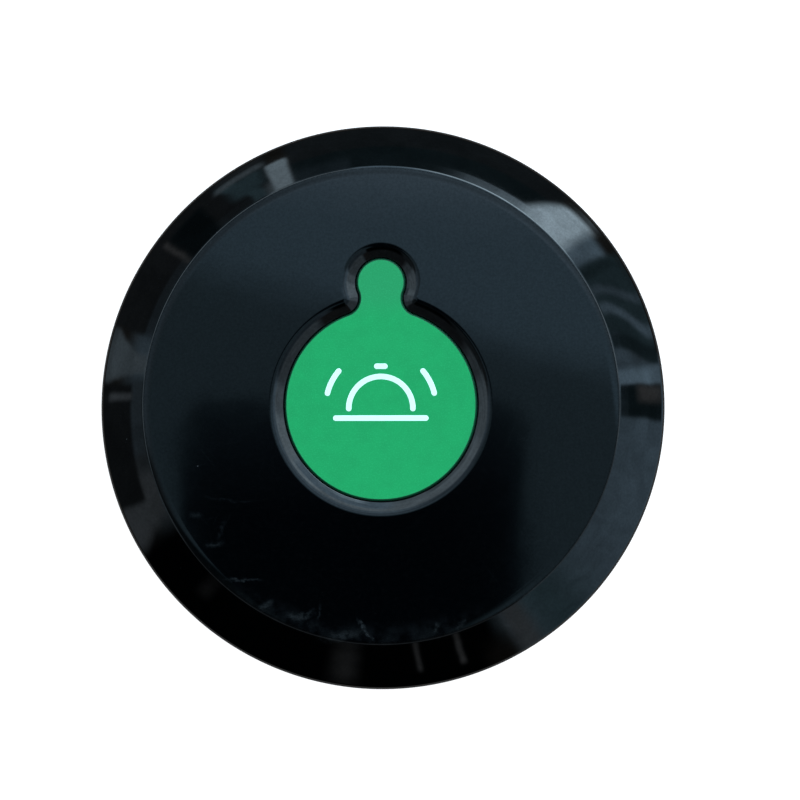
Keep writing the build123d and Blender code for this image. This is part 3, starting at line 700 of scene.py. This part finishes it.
def screwBosses():
    # Tubes that end in a blind pilot hole.
    c = fittingSize
    pilotTop = c["boardTop"] + c["pilotDepth"]
    corners = [(0, pilotTop + c["pilotTip"]), (c["pilot"], pilotTop), (c["pilot"], c["boardTop"]),
               (c["bossRadius"], c["boardTop"]), (c["bossRadius"], fittingTop), (0, fittingTop)]
    tube = roundedLine(corners, c["bossRounds"], c["bossSteps"])
    return [spun(tube, onCircle(c["bossCircle"], turn)) for turn in c["bossAngles"]]


def batteryCradle():
    # Two ribs, each hollowed below by the battery's circle: its height over the
    # battery's axis is the root of the radius squared less the distance squared.
    c, ribs = fittingSize, []
    across = np.linspace(-c["cradleHalf"], c["cradleHalf"], c["cradleColumns"])
    arch = c["batteryZ"] + np.sqrt(np.maximum(c["cradleRadius"] ** 2 - across**2, 0))
    under = np.maximum(arch, c["cradleLow"])
    for side in (-1, 1):
        middle = c["batteryX"] + side * c["cradleSpread"] / 2
        xs = middle + np.array([-0.5, 0.5, 0.5, -0.5]) * c["cradleThick"]
        zs = np.stack([under, under, 0 * under + fittingTop, 0 * under + fittingTop], -1)
        ys = c["batteryY"] + across[:, None] + 0 * zs
        ribs.append(capped(np.stack([np.broadcast_to(xs, zs.shape), ys, zs], -1)))
    return ribs


def contactHolders():
    # Square posts with a slot: a ring of four corners at each half size and height.
    c, posts = fittingSize, []
    square = np.array([(1, 1), (-1, 1), (-1, -1), (1, -1)], float)
    rows = [(c["holderOuter"], c["holderLow"]), (c["holderOuter"], fittingTop),
            (c["slotHalf"], fittingTop), (c["slotHalf"], c["holderLow"])]
    for x in c["holders"]:
        rings = [np.array([x, c["batteryY"]]) + square * half for half, z in rows]
        posts.append(lift(np.stack(rings), [z for half, z in rows]))
    return posts


def bayonetLedges():
    c, blocks = fittingSize, []
    inner, outer, low, high = c["ledge"]
    for turn in c["ledgeAngles"]:
        blocks.append(sector(inner, outer, low, high, turn - c["ledgeSpan"] / 2, c["ledgeSpan"]))
        blocks += [sector(inner, outer, low, c["stopTop"], turn + start, c["stopSpan"], c["stopColumns"])
                   for start in c["stopStarts"]]
    return blocks


for make in (screwBosses, batteryCradle, contactHolders, bayonetLedges):
    addPiece(make.__name__, make(), "housing", "gloss_black_cover", sharp=35, loop=make is contactHolders)

# Key film: a thin keyhole sheet whose cut side leans out to its foot.
filmSize = dict(inset=0.01, foot=0.12, low=16.55, top=16.8, rounds=(0.02, 0.12), cutSteps=7,
                guard=0.01, reach=0.5, rows=26, crowd=0.8, uncut=(3, 2))


def keyFilm():
    # Outline rings climb the cut side, then shrink by even shares to a power onto a spine
    # that runs from the disc's centre to the lobe's centre, both above and below.
    c, (disc, neck, lobe) = filmSize, keyShape["columns"]
    start = -c["inset"] - c["reach"]
    rim = roundedLine([(start, c["low"]), (c["foot"], c["low"]), (-c["inset"], c["top"]), (start, c["top"])],
                      c["rounds"], c["cutSteps"], c["guard"])
    rings = lift(keyholeRings(rim[:, 0]), rim[:, 1])
    half = np.concatenate([np.zeros(disc), np.linspace(0, 1, neck, endpoint=False), np.ones(lobe)])
    share = np.concatenate([half, [1.0], half[:0:-1]])
    spine = np.stack([0 * share, share * keyShape["lobeAt"]], -1)[None]
    t = (np.linspace(0, 1, c["rows"]) ** c["crowd"])[1:, None, None]
    lower = rings[:1, :, :2] * (1 - t[::-1]) + spine * t[::-1]
    upper = rings[-1:, :, :2] * (1 - t) + spine * t
    grid = np.concatenate([lift(lower, c["low"]), rings, lift(upper, c["top"])])
    # the cut side's rows carry the mask for the film's painted shade
    edge, (first, last) = np.zeros(grid.shape[:2]), c["uncut"]
    edge[len(lower) + first: len(lower) + len(rim) - last] = 1.0
    addPiece("keyFilm", [grid], "key", "green_film", ["key_film"], sharp=50, attributes={"shadedCutEdge": edge})


keyFilm()

# Print on the film: a plain counter bell, drawn with one pen width.
bellSize = dict(
    pen=0.29, thick=0.028, low=16.79, capSteps=9,
    nibAcross=(1, 1, 0.96, 0.86), nibUp=(0, 0.6, 0.9, 1),  # half of the bar's section, rounded above
    # half width, height and points of the straight lines; radius, centre, turns and points of the arcs
    level=((4.7, -1.42, 40), (0.42, 4.0, 12)),
    arcs=((3.35, -0.42, 0, 180, 72), (5.75, -0.2, 14.0, 40.0, 24), (5.75, -0.2, 140.0, 166.0, 24)),
)


def penStroke(path):
    # A flat bar carried along the path; beyond both ends its half width is the root
    # of the pen squared less the distance squared, and its upper edges are rounded.
    path, c = np.asarray(path, float), bellSize
    pen = c["pen"]
    heading = np.gradient(path, axis=0)
    heading /= np.linalg.norm(heading, axis=1, keepdims=True)
    cap = np.sin(np.linspace(0, pi / 2, c["capSteps"]))[1:, None] * pen
    points = np.concatenate([path[0] - heading[0] * cap[::-1], path, path[-1] + heading[-1] * cap])
    aim = np.concatenate([heading[:1].repeat(len(cap), 0), heading, heading[-1:].repeat(len(cap), 0)])
    beyond = np.concatenate([cap[::-1, 0], np.zeros(len(path)), cap[:, 0]])
    half = np.sqrt(np.maximum(pen**2 - beyond**2, 0))
    aside = np.stack([-aim[:, 1], aim[:, 0]], -1)
    across, up = np.array(c["nibAcross"]), np.array(c["nibUp"]) * c["thick"] + c["low"]
    across, up = np.concatenate([across, -across[::-1]]), np.concatenate([up, up[::-1]])
    xy = points[:, None] + aside[:, None] * (half[:, None] * across)[..., None]
    return np.concatenate([xy, np.broadcast_to(up, xy.shape[:2])[..., None]], -1)


def levelPath(half, y, count):
    # A straight line across, as far to the left as to the right.
    return np.stack([np.linspace(-half, half, count), np.full(count, y)], -1)


def arcPath(radius, centreY, start, end, count):
    # The part of a circle about x = 0 from one turn to the other, in degrees.
    angle = np.radians(np.linspace(start, end, count))
    return np.stack([radius * np.cos(angle), centreY + radius * np.sin(angle)], -1)


def keyPrint():
    # The bell's foot and its knob, then its dome and a ring line on each side.
    paths = [levelPath(*line) for line in bellSize["level"]] + [arcPath(*arc) for arc in bellSize["arcs"]]
    strokes = [penStroke(path) for path in paths]
    addPiece("keyPrint", strokes, "key", "green_film", sharp=60, finish="pale_ink")


keyPrint()

# Base: a turned body with finger notches, then the slot, seats and holes cut in.
baseSize = dict(
    rim=29.2, low=0.8, rimTop=3.0, rimWidth=2.0, floorTop=2.6, edge=0.4,
    spigot=26.6, spigotInner=24.8, spigotTop=7.4, groove=(25.9, 5.988, 7.237),
    rounds=(0.2, 0.2, 0.15, 0.1, 0, 0, 0, 0, 0, 0, 0.2, 0.2, 0), arcSteps=5, guard=0.02, past=0.2,
    # the notches: their columns crowd together, their edges are eased, and they fade out inwards
    notches=24, notchRadius=1.2, notchDepth=0.35, perNotch=40, crowd=0.72, notchEase=0.03,
    notchReach=0.9, notchFade=0.5,
    # how far the slot's wall stands out at each height over the bottom
    slot=(16.0, 2.4), slotRows=((0.35, -0.2), (0.15, 0.0), (0.0, 0.15), (-0.08, 0.8), (-0.2, 0.9)),
    columns=dict(slot=96, seat=96, hole=72, foot=128, lug=20),
    footCircle=20.0, footRadius=4.0, footSeat=0.4, footRound=0.3,
    footTurns=(45, 135, 225, 315), seatRoom=(0.12, 0.02), seatLip=0.08,
    padRing=((2.3, 0), (2.5, 0.12), (2.75, 0.12), (2.95, 0)), padRounds=(0.1, 0.08, 0.08, 0.1),
    padTopRound=0.05, padGuard=0.01,
    holes=15.0, holeRadius=1.8, headRadius=3.4, headLow=1.8, holeFlare=(0.3, 0.12),
    lug=(4.5, 5.5), lugReach=1.2, lugSpan=20.0,
)


def notchedGrid():
    # The turned profile's radius near the rim is drawn in where the ray meets one
    # of the round notches, at the notch centre's distance along the ray less the root
    # of the notch radius squared less its distance off the ray squared.
    c = baseSize
    s = np.linspace(-0.5, 0.5, c["perNotch"], endpoint=False)
    local = (s - c["crowd"] * np.sin(2 * pi * s) / (2 * pi)) * 2 * pi / c["notches"]
    angle = (np.arange(c["notches"])[:, None] * 2 * pi / c["notches"] + local).ravel()
    local = np.tile(local, c["notches"])
    centre = c["rim"] + c["notchRadius"] - c["notchDepth"]
    room = np.maximum(c["notchRadius"] ** 2 - (centre * np.sin(local)) ** 2, 0)
    hollow = np.where(room > 0, centre * np.cos(local) - np.sqrt(room), c["rim"])
    cut = np.maximum(c["rim"] - hollow, 0)
    cut = np.sqrt(cut**2 + c["notchEase"] ** 2) - c["notchEase"]
    rim, low, floor, inner, spigot = c["rim"], c["low"], c["floorTop"], c["rim"] - c["rimWidth"], c["spigot"]
    deep, grooveLow, grooveHigh = c["groove"]
    corners = [
        (0, low), (rim - c["edge"], low), (rim, low + c["edge"]), (rim, c["rimTop"]), (inner, c["rimTop"]),
        (inner, floor), (spigot, floor), (spigot, grooveLow), (deep, grooveLow), (deep, grooveHigh),
        (spigot, grooveHigh), (spigot, c["spigotTop"]), (c["spigotInner"], c["spigotTop"]),
        (c["spigotInner"], floor), (0, floor)]
    profile = roundedLine(corners, c["rounds"], c["arcSteps"], c["guard"])
    inward = np.clip((profile[:, 0] - (rim - c["notchReach"])) / c["notchFade"], 0, 1)
    radius = profile[:, :1] - (inward * (profile[:, 1] < c["rimTop"] + c["guard"] / 2))[:, None] * cut
    heights = np.broadcast_to(profile[:, 1:], radius.shape)
    return np.stack([radius * np.cos(angle), radius * np.sin(angle), heights], -1)


def baseCutters():
    # What is cut out of the base; every mouth flares a little so that the edges are broken.
    c = baseSize
    low, (length, width), columns = c["low"], c["slot"], c["columns"]
    below, floor = low - c["past"], c["floorTop"] + c["past"]
    turn = np.linspace(0, 2 * pi, columns["slot"], endpoint=False)
    straight = (length - width) / 2 * np.where(np.cos(turn) + 1e-9 > 0, 1, -1)
    radii = [width / 2 + reach for reach, z in c["slotRows"]]
    rings = [np.stack([straight + r * np.cos(turn), r * np.sin(turn)], -1) for r in radii]
    cutters = [capped(lift(np.stack(rings), [low + z for reach, z in c["slotRows"]]))]
    wide, close = [c["footRadius"] + room for room in c["seatRoom"]]
    seat = [(0, below), (wide, below), (close, low + c["seatLip"]), (close, low + c["footSeat"]),
            (0, low + c["footSeat"])]
    cutters += [spun(seat, onCircle(c["footCircle"], turn), columns["seat"]) for turn in c["footTurns"]]
    flare, lip = c["holeFlare"]
    radius, wide, high = c["holeRadius"], c["headRadius"], c["headLow"]
    hole = [(0, below), (radius + flare, below), (radius, low + lip), (radius, high), (wide, high),
            (wide, floor), (0, floor)]
    return cutters + [spun(hole, (x, 0), columns["hole"]) for x in (-c["holes"], c["holes"])]


def baseShell():
    piece = addPiece("baseShell", [notchedGrid()], "base", "black_base", ["bottom_cover"])
    cutter = addPiece("baseCutter", baseCutters(), "base", "black_base")
    carve = piece.modifiers.new("carve", "BOOLEAN")
    carve.operation, carve.solver, carve.object = "DIFFERENCE", "EXACT", cutter
    graph = bpy.context.evaluated_depsgraph_get()
    carved = bpy.data.meshes.new_from_object(piece.evaluated_get(graph))
    piece.modifiers.clear()
    piece.data = carved
    carved.name = "baseShell"
    bpy.data.objects.remove(cutter)
    carved.shade_smooth()
    carved.set_sharp_from_angle(angle=radians(28))
    print("base carved:", len(carved.polygons), "faces")


def bayonetLugs():
    c, (low, high) = baseSize, baseSize["lug"]
    return [sector(c["groove"][0], c["spigot"] + c["lugReach"], low, high, turn - c["lugSpan"] / 2,
                   c["lugSpan"], c["columns"]["lug"]) for turn in fittingSize["ledgeAngles"]]


def rubberFeet():
    # Four pads: the profile rounds over at the bottom edge and has one shallow ring.
    c, radius = baseSize, baseSize["footRadius"]
    high = c["low"] + c["footSeat"]
    corners = [(0, 0), *c["padRing"], (radius, 0), (radius, high), (0, high)]
    rounds = [*c["padRounds"], c["footRound"], c["padTopRound"]]
    line = roundedLine(corners, rounds, c["arcSteps"], c["padGuard"])
    return [spun(line, onCircle(c["footCircle"], turn), c["columns"]["foot"]) for turn in c["footTurns"]]


baseShell()
addPiece("bayonetLugs", bayonetLugs(), "base", "black_base", sharp=35)
addPiece("rubberFeet", rubberFeet(), "base", "black_rubber", ["rubber_feet"], sharp=40)

# Switch dome: a thin cap of spring steel that flattens under the plunger.
domeSize = dict(rim=2.2, thick=0.15, low=9.6, top=10.8, rows=24, columns=96)


def switchDome():
    # Two caps, each the part of a sphere over the rim's circle: its radius is the
    # rim squared plus the rise squared, over twice the rise.
    c, caps = domeSize, []
    for inward in (0.0, c["thick"]):
        rim, rise = c["rim"] - inward, c["top"] - inward - c["low"]
        radius = (rim**2 + rise**2) / (2 * rise)
        angle = np.linspace(0, np.arcsin(rim / radius), c["rows"])
        caps.append(np.stack([radius * np.sin(angle), c["top"] - inward - radius * (1 - np.cos(angle))], -1))
    line = np.concatenate([caps[0], caps[1][::-1]])
    bend = ("housing", "switch_plunger", (0, 0, c["low"] * mm), (0, 0, c["top"] * mm))
    cap = spun(line, (0, 0), c["columns"])
    addPiece("switchDome", [cap], bend, "spring_steel", ["switch_dome"], sharp=50)


switchDome()

# Finishes of the CAD nodes that show as they are.
slotNodes = {
    "black_key": "key_cap", "black_rubber": "seal_ring", "board_laminate": "circuit_board",
    "black_part": "switch_base switch_plunger", "clear_resin": "lamp_lens", "chip_resin": "encoder_chip",
    "tinned_metal": "switch_cover switch_terminals lamp_leads chip_pins resonator_can",
    "plated_steel": "board_screws positive_contact negative_contact", "copper_wire": "antenna_coil",
    "ceramic_parts": "chip_components", "battery_steel": "battery_cell battery_button",
    "battery_print": "battery_sleeve", "spring_steel": "battery_spring", "solder_alloy": "solder_joints",
}
for slot, names in slotNodes.items():
    for name in names.split():
        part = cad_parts[name].data
        part.materials.clear()
        part.materials.append(finishes[slot])
    print("finished", slot, "on", names)

# Camera, nearly straight above and leaning a little to the near side and to the right.
shot = dict(target=(1.89, 0.66, 13.0), distance=285.0, near=2.9, right=1.74, lens=121.3,
            sensor=36.0, clip=(0.01, 20.0))
camera = show("camera", bpy.data.cameras.new("camera"))
camera.data.lens, camera.data.sensor_width = shot["lens"], shot["sensor"]
camera.data.clip_start, camera.data.clip_end = shot["clip"]
away = Vector((tan(radians(shot["right"])), -tan(radians(shot["near"])), 1.0)).normalized()
camera.location = (Vector(shot["target"]) + away * shot["distance"]) * mm
camera.rotation_mode = "QUATERNION"
rightward = Vector((0, 1, 0)).cross(away).normalized()
camera.rotation_quaternion = Matrix([rightward, away.cross(rightward), away]).transposed().to_quaternion()
bpy.context.scene.camera = camera

# Floor: a pale sheet, in metres, that isn't seen from below.
floor = dict(half=3.0, shade=colour(0.42, 0.42, 0.42), rough=0.9, glow=0.80)
floorMesh = bpy.data.meshes.new("floor")
floorCorners = [(x * floor["half"], y * floor["half"], 0) for x, y in ((-1, -1), (1, -1), (1, 1), (-1, 1))]
floorMesh.from_pydata(floorCorners, [], [(0, 1, 2, 3)])
ground = show("floor", floorMesh)
ground.visible_glossy = False
made, tree, shader = newMaterial("paleFloor")
feed(shader, base=floor["shade"], rough=floor["rough"])
shader.inputs["Emission Color"].default_value = colour(1, 1, 1)
shader.inputs["Emission Strength"].default_value = floor["glow"]
fromBelow = node(tree, "ShaderNodeNewGeometry", output="Backfacing")
clear = node(tree, "ShaderNodeBsdfTransparent")
sheet = node(tree, "ShaderNodeMixShader", None, {0: fromBelow, 1: Wire(tree, shader.outputs[0]), 2: clear})
tree.links.new(sheet.socket, tree.nodes["Material Output"].inputs[0])
floorMesh.materials.append(made)

# Studio: two soft lights, from above and from below, and the soft panels that the gloss mirrors.
suns = dict(
    overhead=dict(energy=2.1, width=80, turn=(12, 8, 0)),
    underneath=dict(energy=1.6, width=50, turn=(142, 18, 0)),
)
for name, sun in suns.items():
    lamp = show(name, bpy.data.lights.new(name, "SUN"))
    lamp.data.energy, lamp.data.angle = sun["energy"], radians(sun["width"])
    lamp.rotation_euler = [radians(turn) for turn in sun["turn"]]
    lamp.visible_glossy = False

# Each panel: bearing clockwise from +Y and rise, both from and to in degrees, softness of
# sides and of ends, strength and tint. Two more numbers, where given, shift its middle and
# widen each half of it per degree of rise. A later panel stands in front of an earlier one.
tints = dict(cool=(0.66, 1.0, 1.30), pale=(0.76, 1.0, 1.17), grey=(0.85, 1.0, 1.13),
         neutral=(0.95, 1.0, 1.05), green=(0.56, 1.0, 1.22), brown=(1.15, 1.0, 0.9))
panels = [
    ((251, 509), (11, 66), (5, 10), 0.62, "cool"),
    # above the dark near side
    ((150, 247), (29, 40), (6, 7), 0.32, "grey"),
    ((150, 247), (40, 64), (6, 7), 0.075, "grey"),
    # high sky, lower in the sky a paler ring
    ((262, 338), (64, 78), (8, 9), 0.52, "cool"),
    ((338, 458), (64, 78), (16, 9), 1.05, "cool"),
    ((98, 152), (62, 78), (8, 3), 0.24, "cool"),
    ((233, 274), (60, 84), (8, 5), 0.11, "pale"),
    ((242, 263), (36, 60), (8, 6), 0.42, "pale"),
    ((262, 294), (36, 67), (10, 6), 0.9, "pale"),
    ((292, 354), (36, 67), (10, 6), 1.4, "pale"),
    ((352, 442), (36, 67), (12, 6), 1.75, "pale"),
    ((392, 412), (36, 67), (10, 6), 2.4, "pale"),
    ((82, 98), (36, 67), (8, 6), 1.0, "pale"),
    ((98, 143), (36, 67), (6, 6), 0.5, "pale"),
    ((143, 158), (36, 67), (6, 6), 0.09, "neutral"),
    # pale wall on the right, with its shaded end and a brown corner
    ((77, 150), (-16, 37), (3, 4), 0.6, "cool"),
    ((84, 112), (-16, 37), (16, 4), 0.72, "cool"),
    ((131, 147), (-16, 36), (12, 5), 0.34, "green"),
    ((145, 151), (-10, 36), (2.5, 5), 0.36, "grey"),
    ((151, 158), (-4, 12), (4, 10), 0.035, "brown"),
    # far window, its glare, and the slanting lamp that runs down from it
    ((352, 411), (16, 56), (8, 6), 1.4, "cool"),
    ((367, 405), (15.7, 38), (9, 4), 4.6, "pale"),
    ((380, 406), (15.7, 37), (9, 3), 6.0, "pale"),
    ((338, 398), (-3, 13.8), (1.5, 0.8), 0.095, "pale"),
    ((338, 398), (7, 13.8), (1.5, 0.8), 0.09, "green"),
    ((45, 53), (5.6, 17), (3, 3), 1.1, "cool"),
    ((39.5, 47), (3.8, 17), (3.0, 2.2), 4.4, "pale", -0.35, 0.26),
    # curtain with lit and dark folds
    ((53, 78), (3, 17.5), (1.6, 1.5), 0.26, "green", -0.23, -0.13),
    ((64, 70), (16, 35), (3, 8), 0.28, "green", -0.28),
    ((53.2, 55.6), (4, 17), (1.5, 2), 0.18, "green"),
    ((63.2, 65.2), (3.5, 17.5), (1.4, 2), 0.52, "cool", -0.45),
    ((70.2, 72.8), (3.5, 17.5), (1.4, 2), 0.74, "cool", -0.67),
    ((75.0, 76.4), (9, 17.5), (1.2, 2), 0.5, "cool", -0.75),
    ((74.4, 78.6), (3, 17.5), (1.4, 2), 0.15, "green", -0.38),
    ((78.5, 83), (3, 36), (1.6, 8), 1.4, "cool"),
    # dark post that stands in front of the wall
    ((84, 90), (18, 34), (3, 9), 0.34, "cool"),
    ((82.4, 90.4), (4, 18.4), (1.0, 1.3), 0.085, "green"),
    ((82.7, 86.6), (4, 13.5), (1.6, 3), 0.34, "neutral"),
    # thin lit slits on the dark near side
    ((162.6, 163.9), (9, 19.5), (0.9, 2), 0.26, "neutral"),
    ((172.8, 173.9), (9.5, 19.5), (0.9, 2), 0.2, "neutral"),
    ((188.0, 193.4), (5, 19.5), (3.5, 6), 0.11, "neutral"),
    ((225.5, 228.5), (10, 17), (2, 4), 0.05, "neutral"),
    # shelf on the left: a lit end, a dark box and one lit line
    ((241.5, 257), (0, 37), (2.5, 4), 0.31, "grey", 0.33),
    ((257, 279), (11, 34), (3, 10), 0.13, "pale"),
    ((251.5, 277.5), (-2, 11.8), (1.3, 1.3), 0.055, "grey"),
    ((273.9, 275.4), (1.5, 12), (0.9, 1.2), 0.36, "grey"),
    # doorway: a lit gap that narrows upwards, the dark door and its dark green strip
    ((280.2, 284), (12, 38), (1.6, 5), 0.78, "pale"),
    ((277.6, 288.4), (0, 15), (1.2, 2), 0.57, "pale", -0.08, -0.27),
    ((288, 331.5), (12, 36), (3, 6), 0.12, "cool"),
    ((288.6, 334), (-3, 12.6), (1.2, 1.4), 0.07, "grey"),
    ((306.9, 308.2), (1, 12.5), (0.9, 1.5), 0.26, "neutral"),
    ((308.6, 318), (1.5, 14), (1.6, 2), 0.036, "green"),
    # window frame on the far left: a leaning sheen with a foot, and a bright bar
    ((321.8, 325.2), (0.4, 12.8), (1.2, 1.5), 0.4, "green", 0.52),
    ((324, 332.5), (2.5, 10), (2.5, 2.5), 0.3, "green"),
    ((322, 333), (0.2, 2.4), (1.8, 1.2), 0.55, "pale"),
    ((331.5, 337.8), (12.5, 38), (2, 5), 1.3, "pale"),
    ((333.3, 337.8), (3.0, 13.4), (0.9, 1.0), 1.75, "pale"),
    ((338.4, 351), (13, 34), (1.6, 6), 0.28, "cool"),
]
sky = dict(
    horizon=colour(0.085, 0.085, 0.08), above=colour(0.20, 0.28, 0.34),
    dark=colour(0.0004, 0.0005, 0.0006), ground=colour(0.055, 0.052, 0.048),
    sweep=colour(0.30, 0.30, 0.30), below=colour(0.12, 0.12, 0.12), backdrop=colour(1, 1, 1),
    # rises between which each zone sets in
    aboveFrom=(4, 24), level=(1.5, -1.5), sweepFrom=(-5, -26), belowFrom=(-34, -52),
    nearSide=((153, 244), (-10, 100), (5, 2)),
    sway=(0.22, 2.4, 1.0),  # size of the waver, and how far it moves bearings and rises
    blotches=dict(grain=(0.13, 4.0, 0.6, 0.8), range=(0.30, 0.70), reach=0.16, rise=(-6, 3)),
)
# Overhead, in slopes from the upright: the roof in three tones with slanting edges, its dark
# near end, and a dark card with round corners.
roof = dict(
    near=colour(0.165, 0.275, 0.35), far=colour(0.36, 0.60, 0.80), end=colour(0.60, 0.90, 1.18),
    rise=(77.5, 82.5), slant=0.256, farFrom=(0.066, 0.082), leastUp=0.05,
    endSlant=0.1, endFrom=(0.112, 0.135),
    low=colour(0.015, 0.028, 0.036), lowRise=(75, 79), lowY=(-0.022, -0.045), lowX=(0.06, 0.012),
)
card = dict(
    middle=-0.0480, far=0.0505, half=0.0642, corner=0.013, edge=0.0012, rise=(73, 77),
    tone=colour(0.004, 0.010, 0.020), farTone=colour(0.034, 0.058, 0.082), farFrom=(0.048, 0.006),
)
feather = 1.4  # how much wider than its given softness a panel's edge fades
world = bpy.data.worlds.new("studio")
bpy.context.scene.world = world
world.cycles.sampling_method = "MANUAL"
world.cycles.sample_map_resolution = 512
world.use_nodes = True
tree = world.node_tree
ray = vectors("NORMALIZE", node(tree, "ShaderNodeTexCoord", output="Generated"))
x, y, z = axes(ray)
swaySize, swayBearing, swayRise = sky["sway"]
sway = grain(ray, swaySize, 2.0) - 0.5
bearing = maths("ARCTAN2", x, y) * (180 / pi) + sway * swayBearing
rise = maths("ARCSINE", z) * (180 / pi) + sway * swayRise


def panelMask(bearings, rises, soft, lean=0.0, spread=0.0):
    # 1 on the panel, easing to 0 past its sides and its ends.
    (low, high), (foot, head) = bearings, rises
    turned, half = bearing - (low + high) / 2, (high - low) / 2
    if lean:
        turned = turned - (rise - foot) * lean
    if spread:
        half = (rise - foot) * spread + half
    sides = within(maths("WRAP", turned, 180.0, -180.0), half, soft[0] * feather)
    return sides * within(rise - (foot + head) / 2, (head - foot) / 2, soft[1] * feather)


# below the horizon: dark at first, then the pale sweep, and dark again underneath; the near
# side stays dark from the horizon to the top of the sky
lowWorld = layers(sky["ground"], (ease(rise, *sky["sweepFrom"]), sky["sweep"]),
                  (ease(rise, *sky["belowFrom"]), sky["below"]))
view = layers(sky["horizon"], (ease(rise, *sky["aboveFrom"]), sky["above"]),
              (ease(rise, *sky["level"]), lowWorld), (panelMask(*sky["nearSide"]), sky["dark"]))
for bearings, rises, soft, strength, tint, *slope in panels:
    light = colour(*[part * strength for part in tints[tint]])
    view = blendColour(panelMask(bearings, rises, soft, *slope), view, light)
# uneven light, as walls and curtains give it
uneven = sky["blotches"]
blotches = ease(grain(ray, *uneven["grain"]), *uneven["range"], -uneven["reach"], uneven["reach"])
blotches = blotches * ease(rise, *uneven["rise"]) + 1
view = node(tree, "ShaderNodeVectorMath", {"operation": "SCALE"}, {"Vector": view, "Scale": blotches})
upright = maths("MAXIMUM", z, roof["leastUp"])
overX, overY = x / upright, y / upright
glow = layers(roof["near"], (ease(overY + overX * roof["slant"], *roof["farFrom"]), roof["far"]),
              (ease(overY + overX * roof["endSlant"], *roof["endFrom"]), roof["end"]))
lowEnd = ease(overY, *roof["lowY"]) * ease(overX, *roof["lowX"]) * ease(rise, *roof["lowRise"])
cardX = maths("MAXIMUM", abs(overX - card["middle"]) - (card["half"] - card["corner"]), 0.0)
cardY = maths("MAXIMUM", overY - (card["far"] - card["corner"]), 0.0)
inside = card["corner"] - (cardX * cardX + cardY * cardY) ** 0.5
cardTone = blendColour(ease(overY, *card["farFrom"]), card["farTone"], card["tone"])
onCard = ease(inside, -card["edge"], card["edge"]) * ease(rise, *card["rise"])
seen = node(tree, "ShaderNodeLightPath", output="Is Camera Ray")
view = layers(view, (ease(rise, *roof["rise"]), glow), (lowEnd, roof["low"]), (onCard, cardTone),
              (seen, sky["backdrop"]))
background = tree.nodes["Background"]
tree.links.new(view.socket, background.inputs["Color"])
background.inputs["Strength"].default_value = 1.0
bpy.context.scene.view_settings.view_transform = "Standard"
print("studio ready")
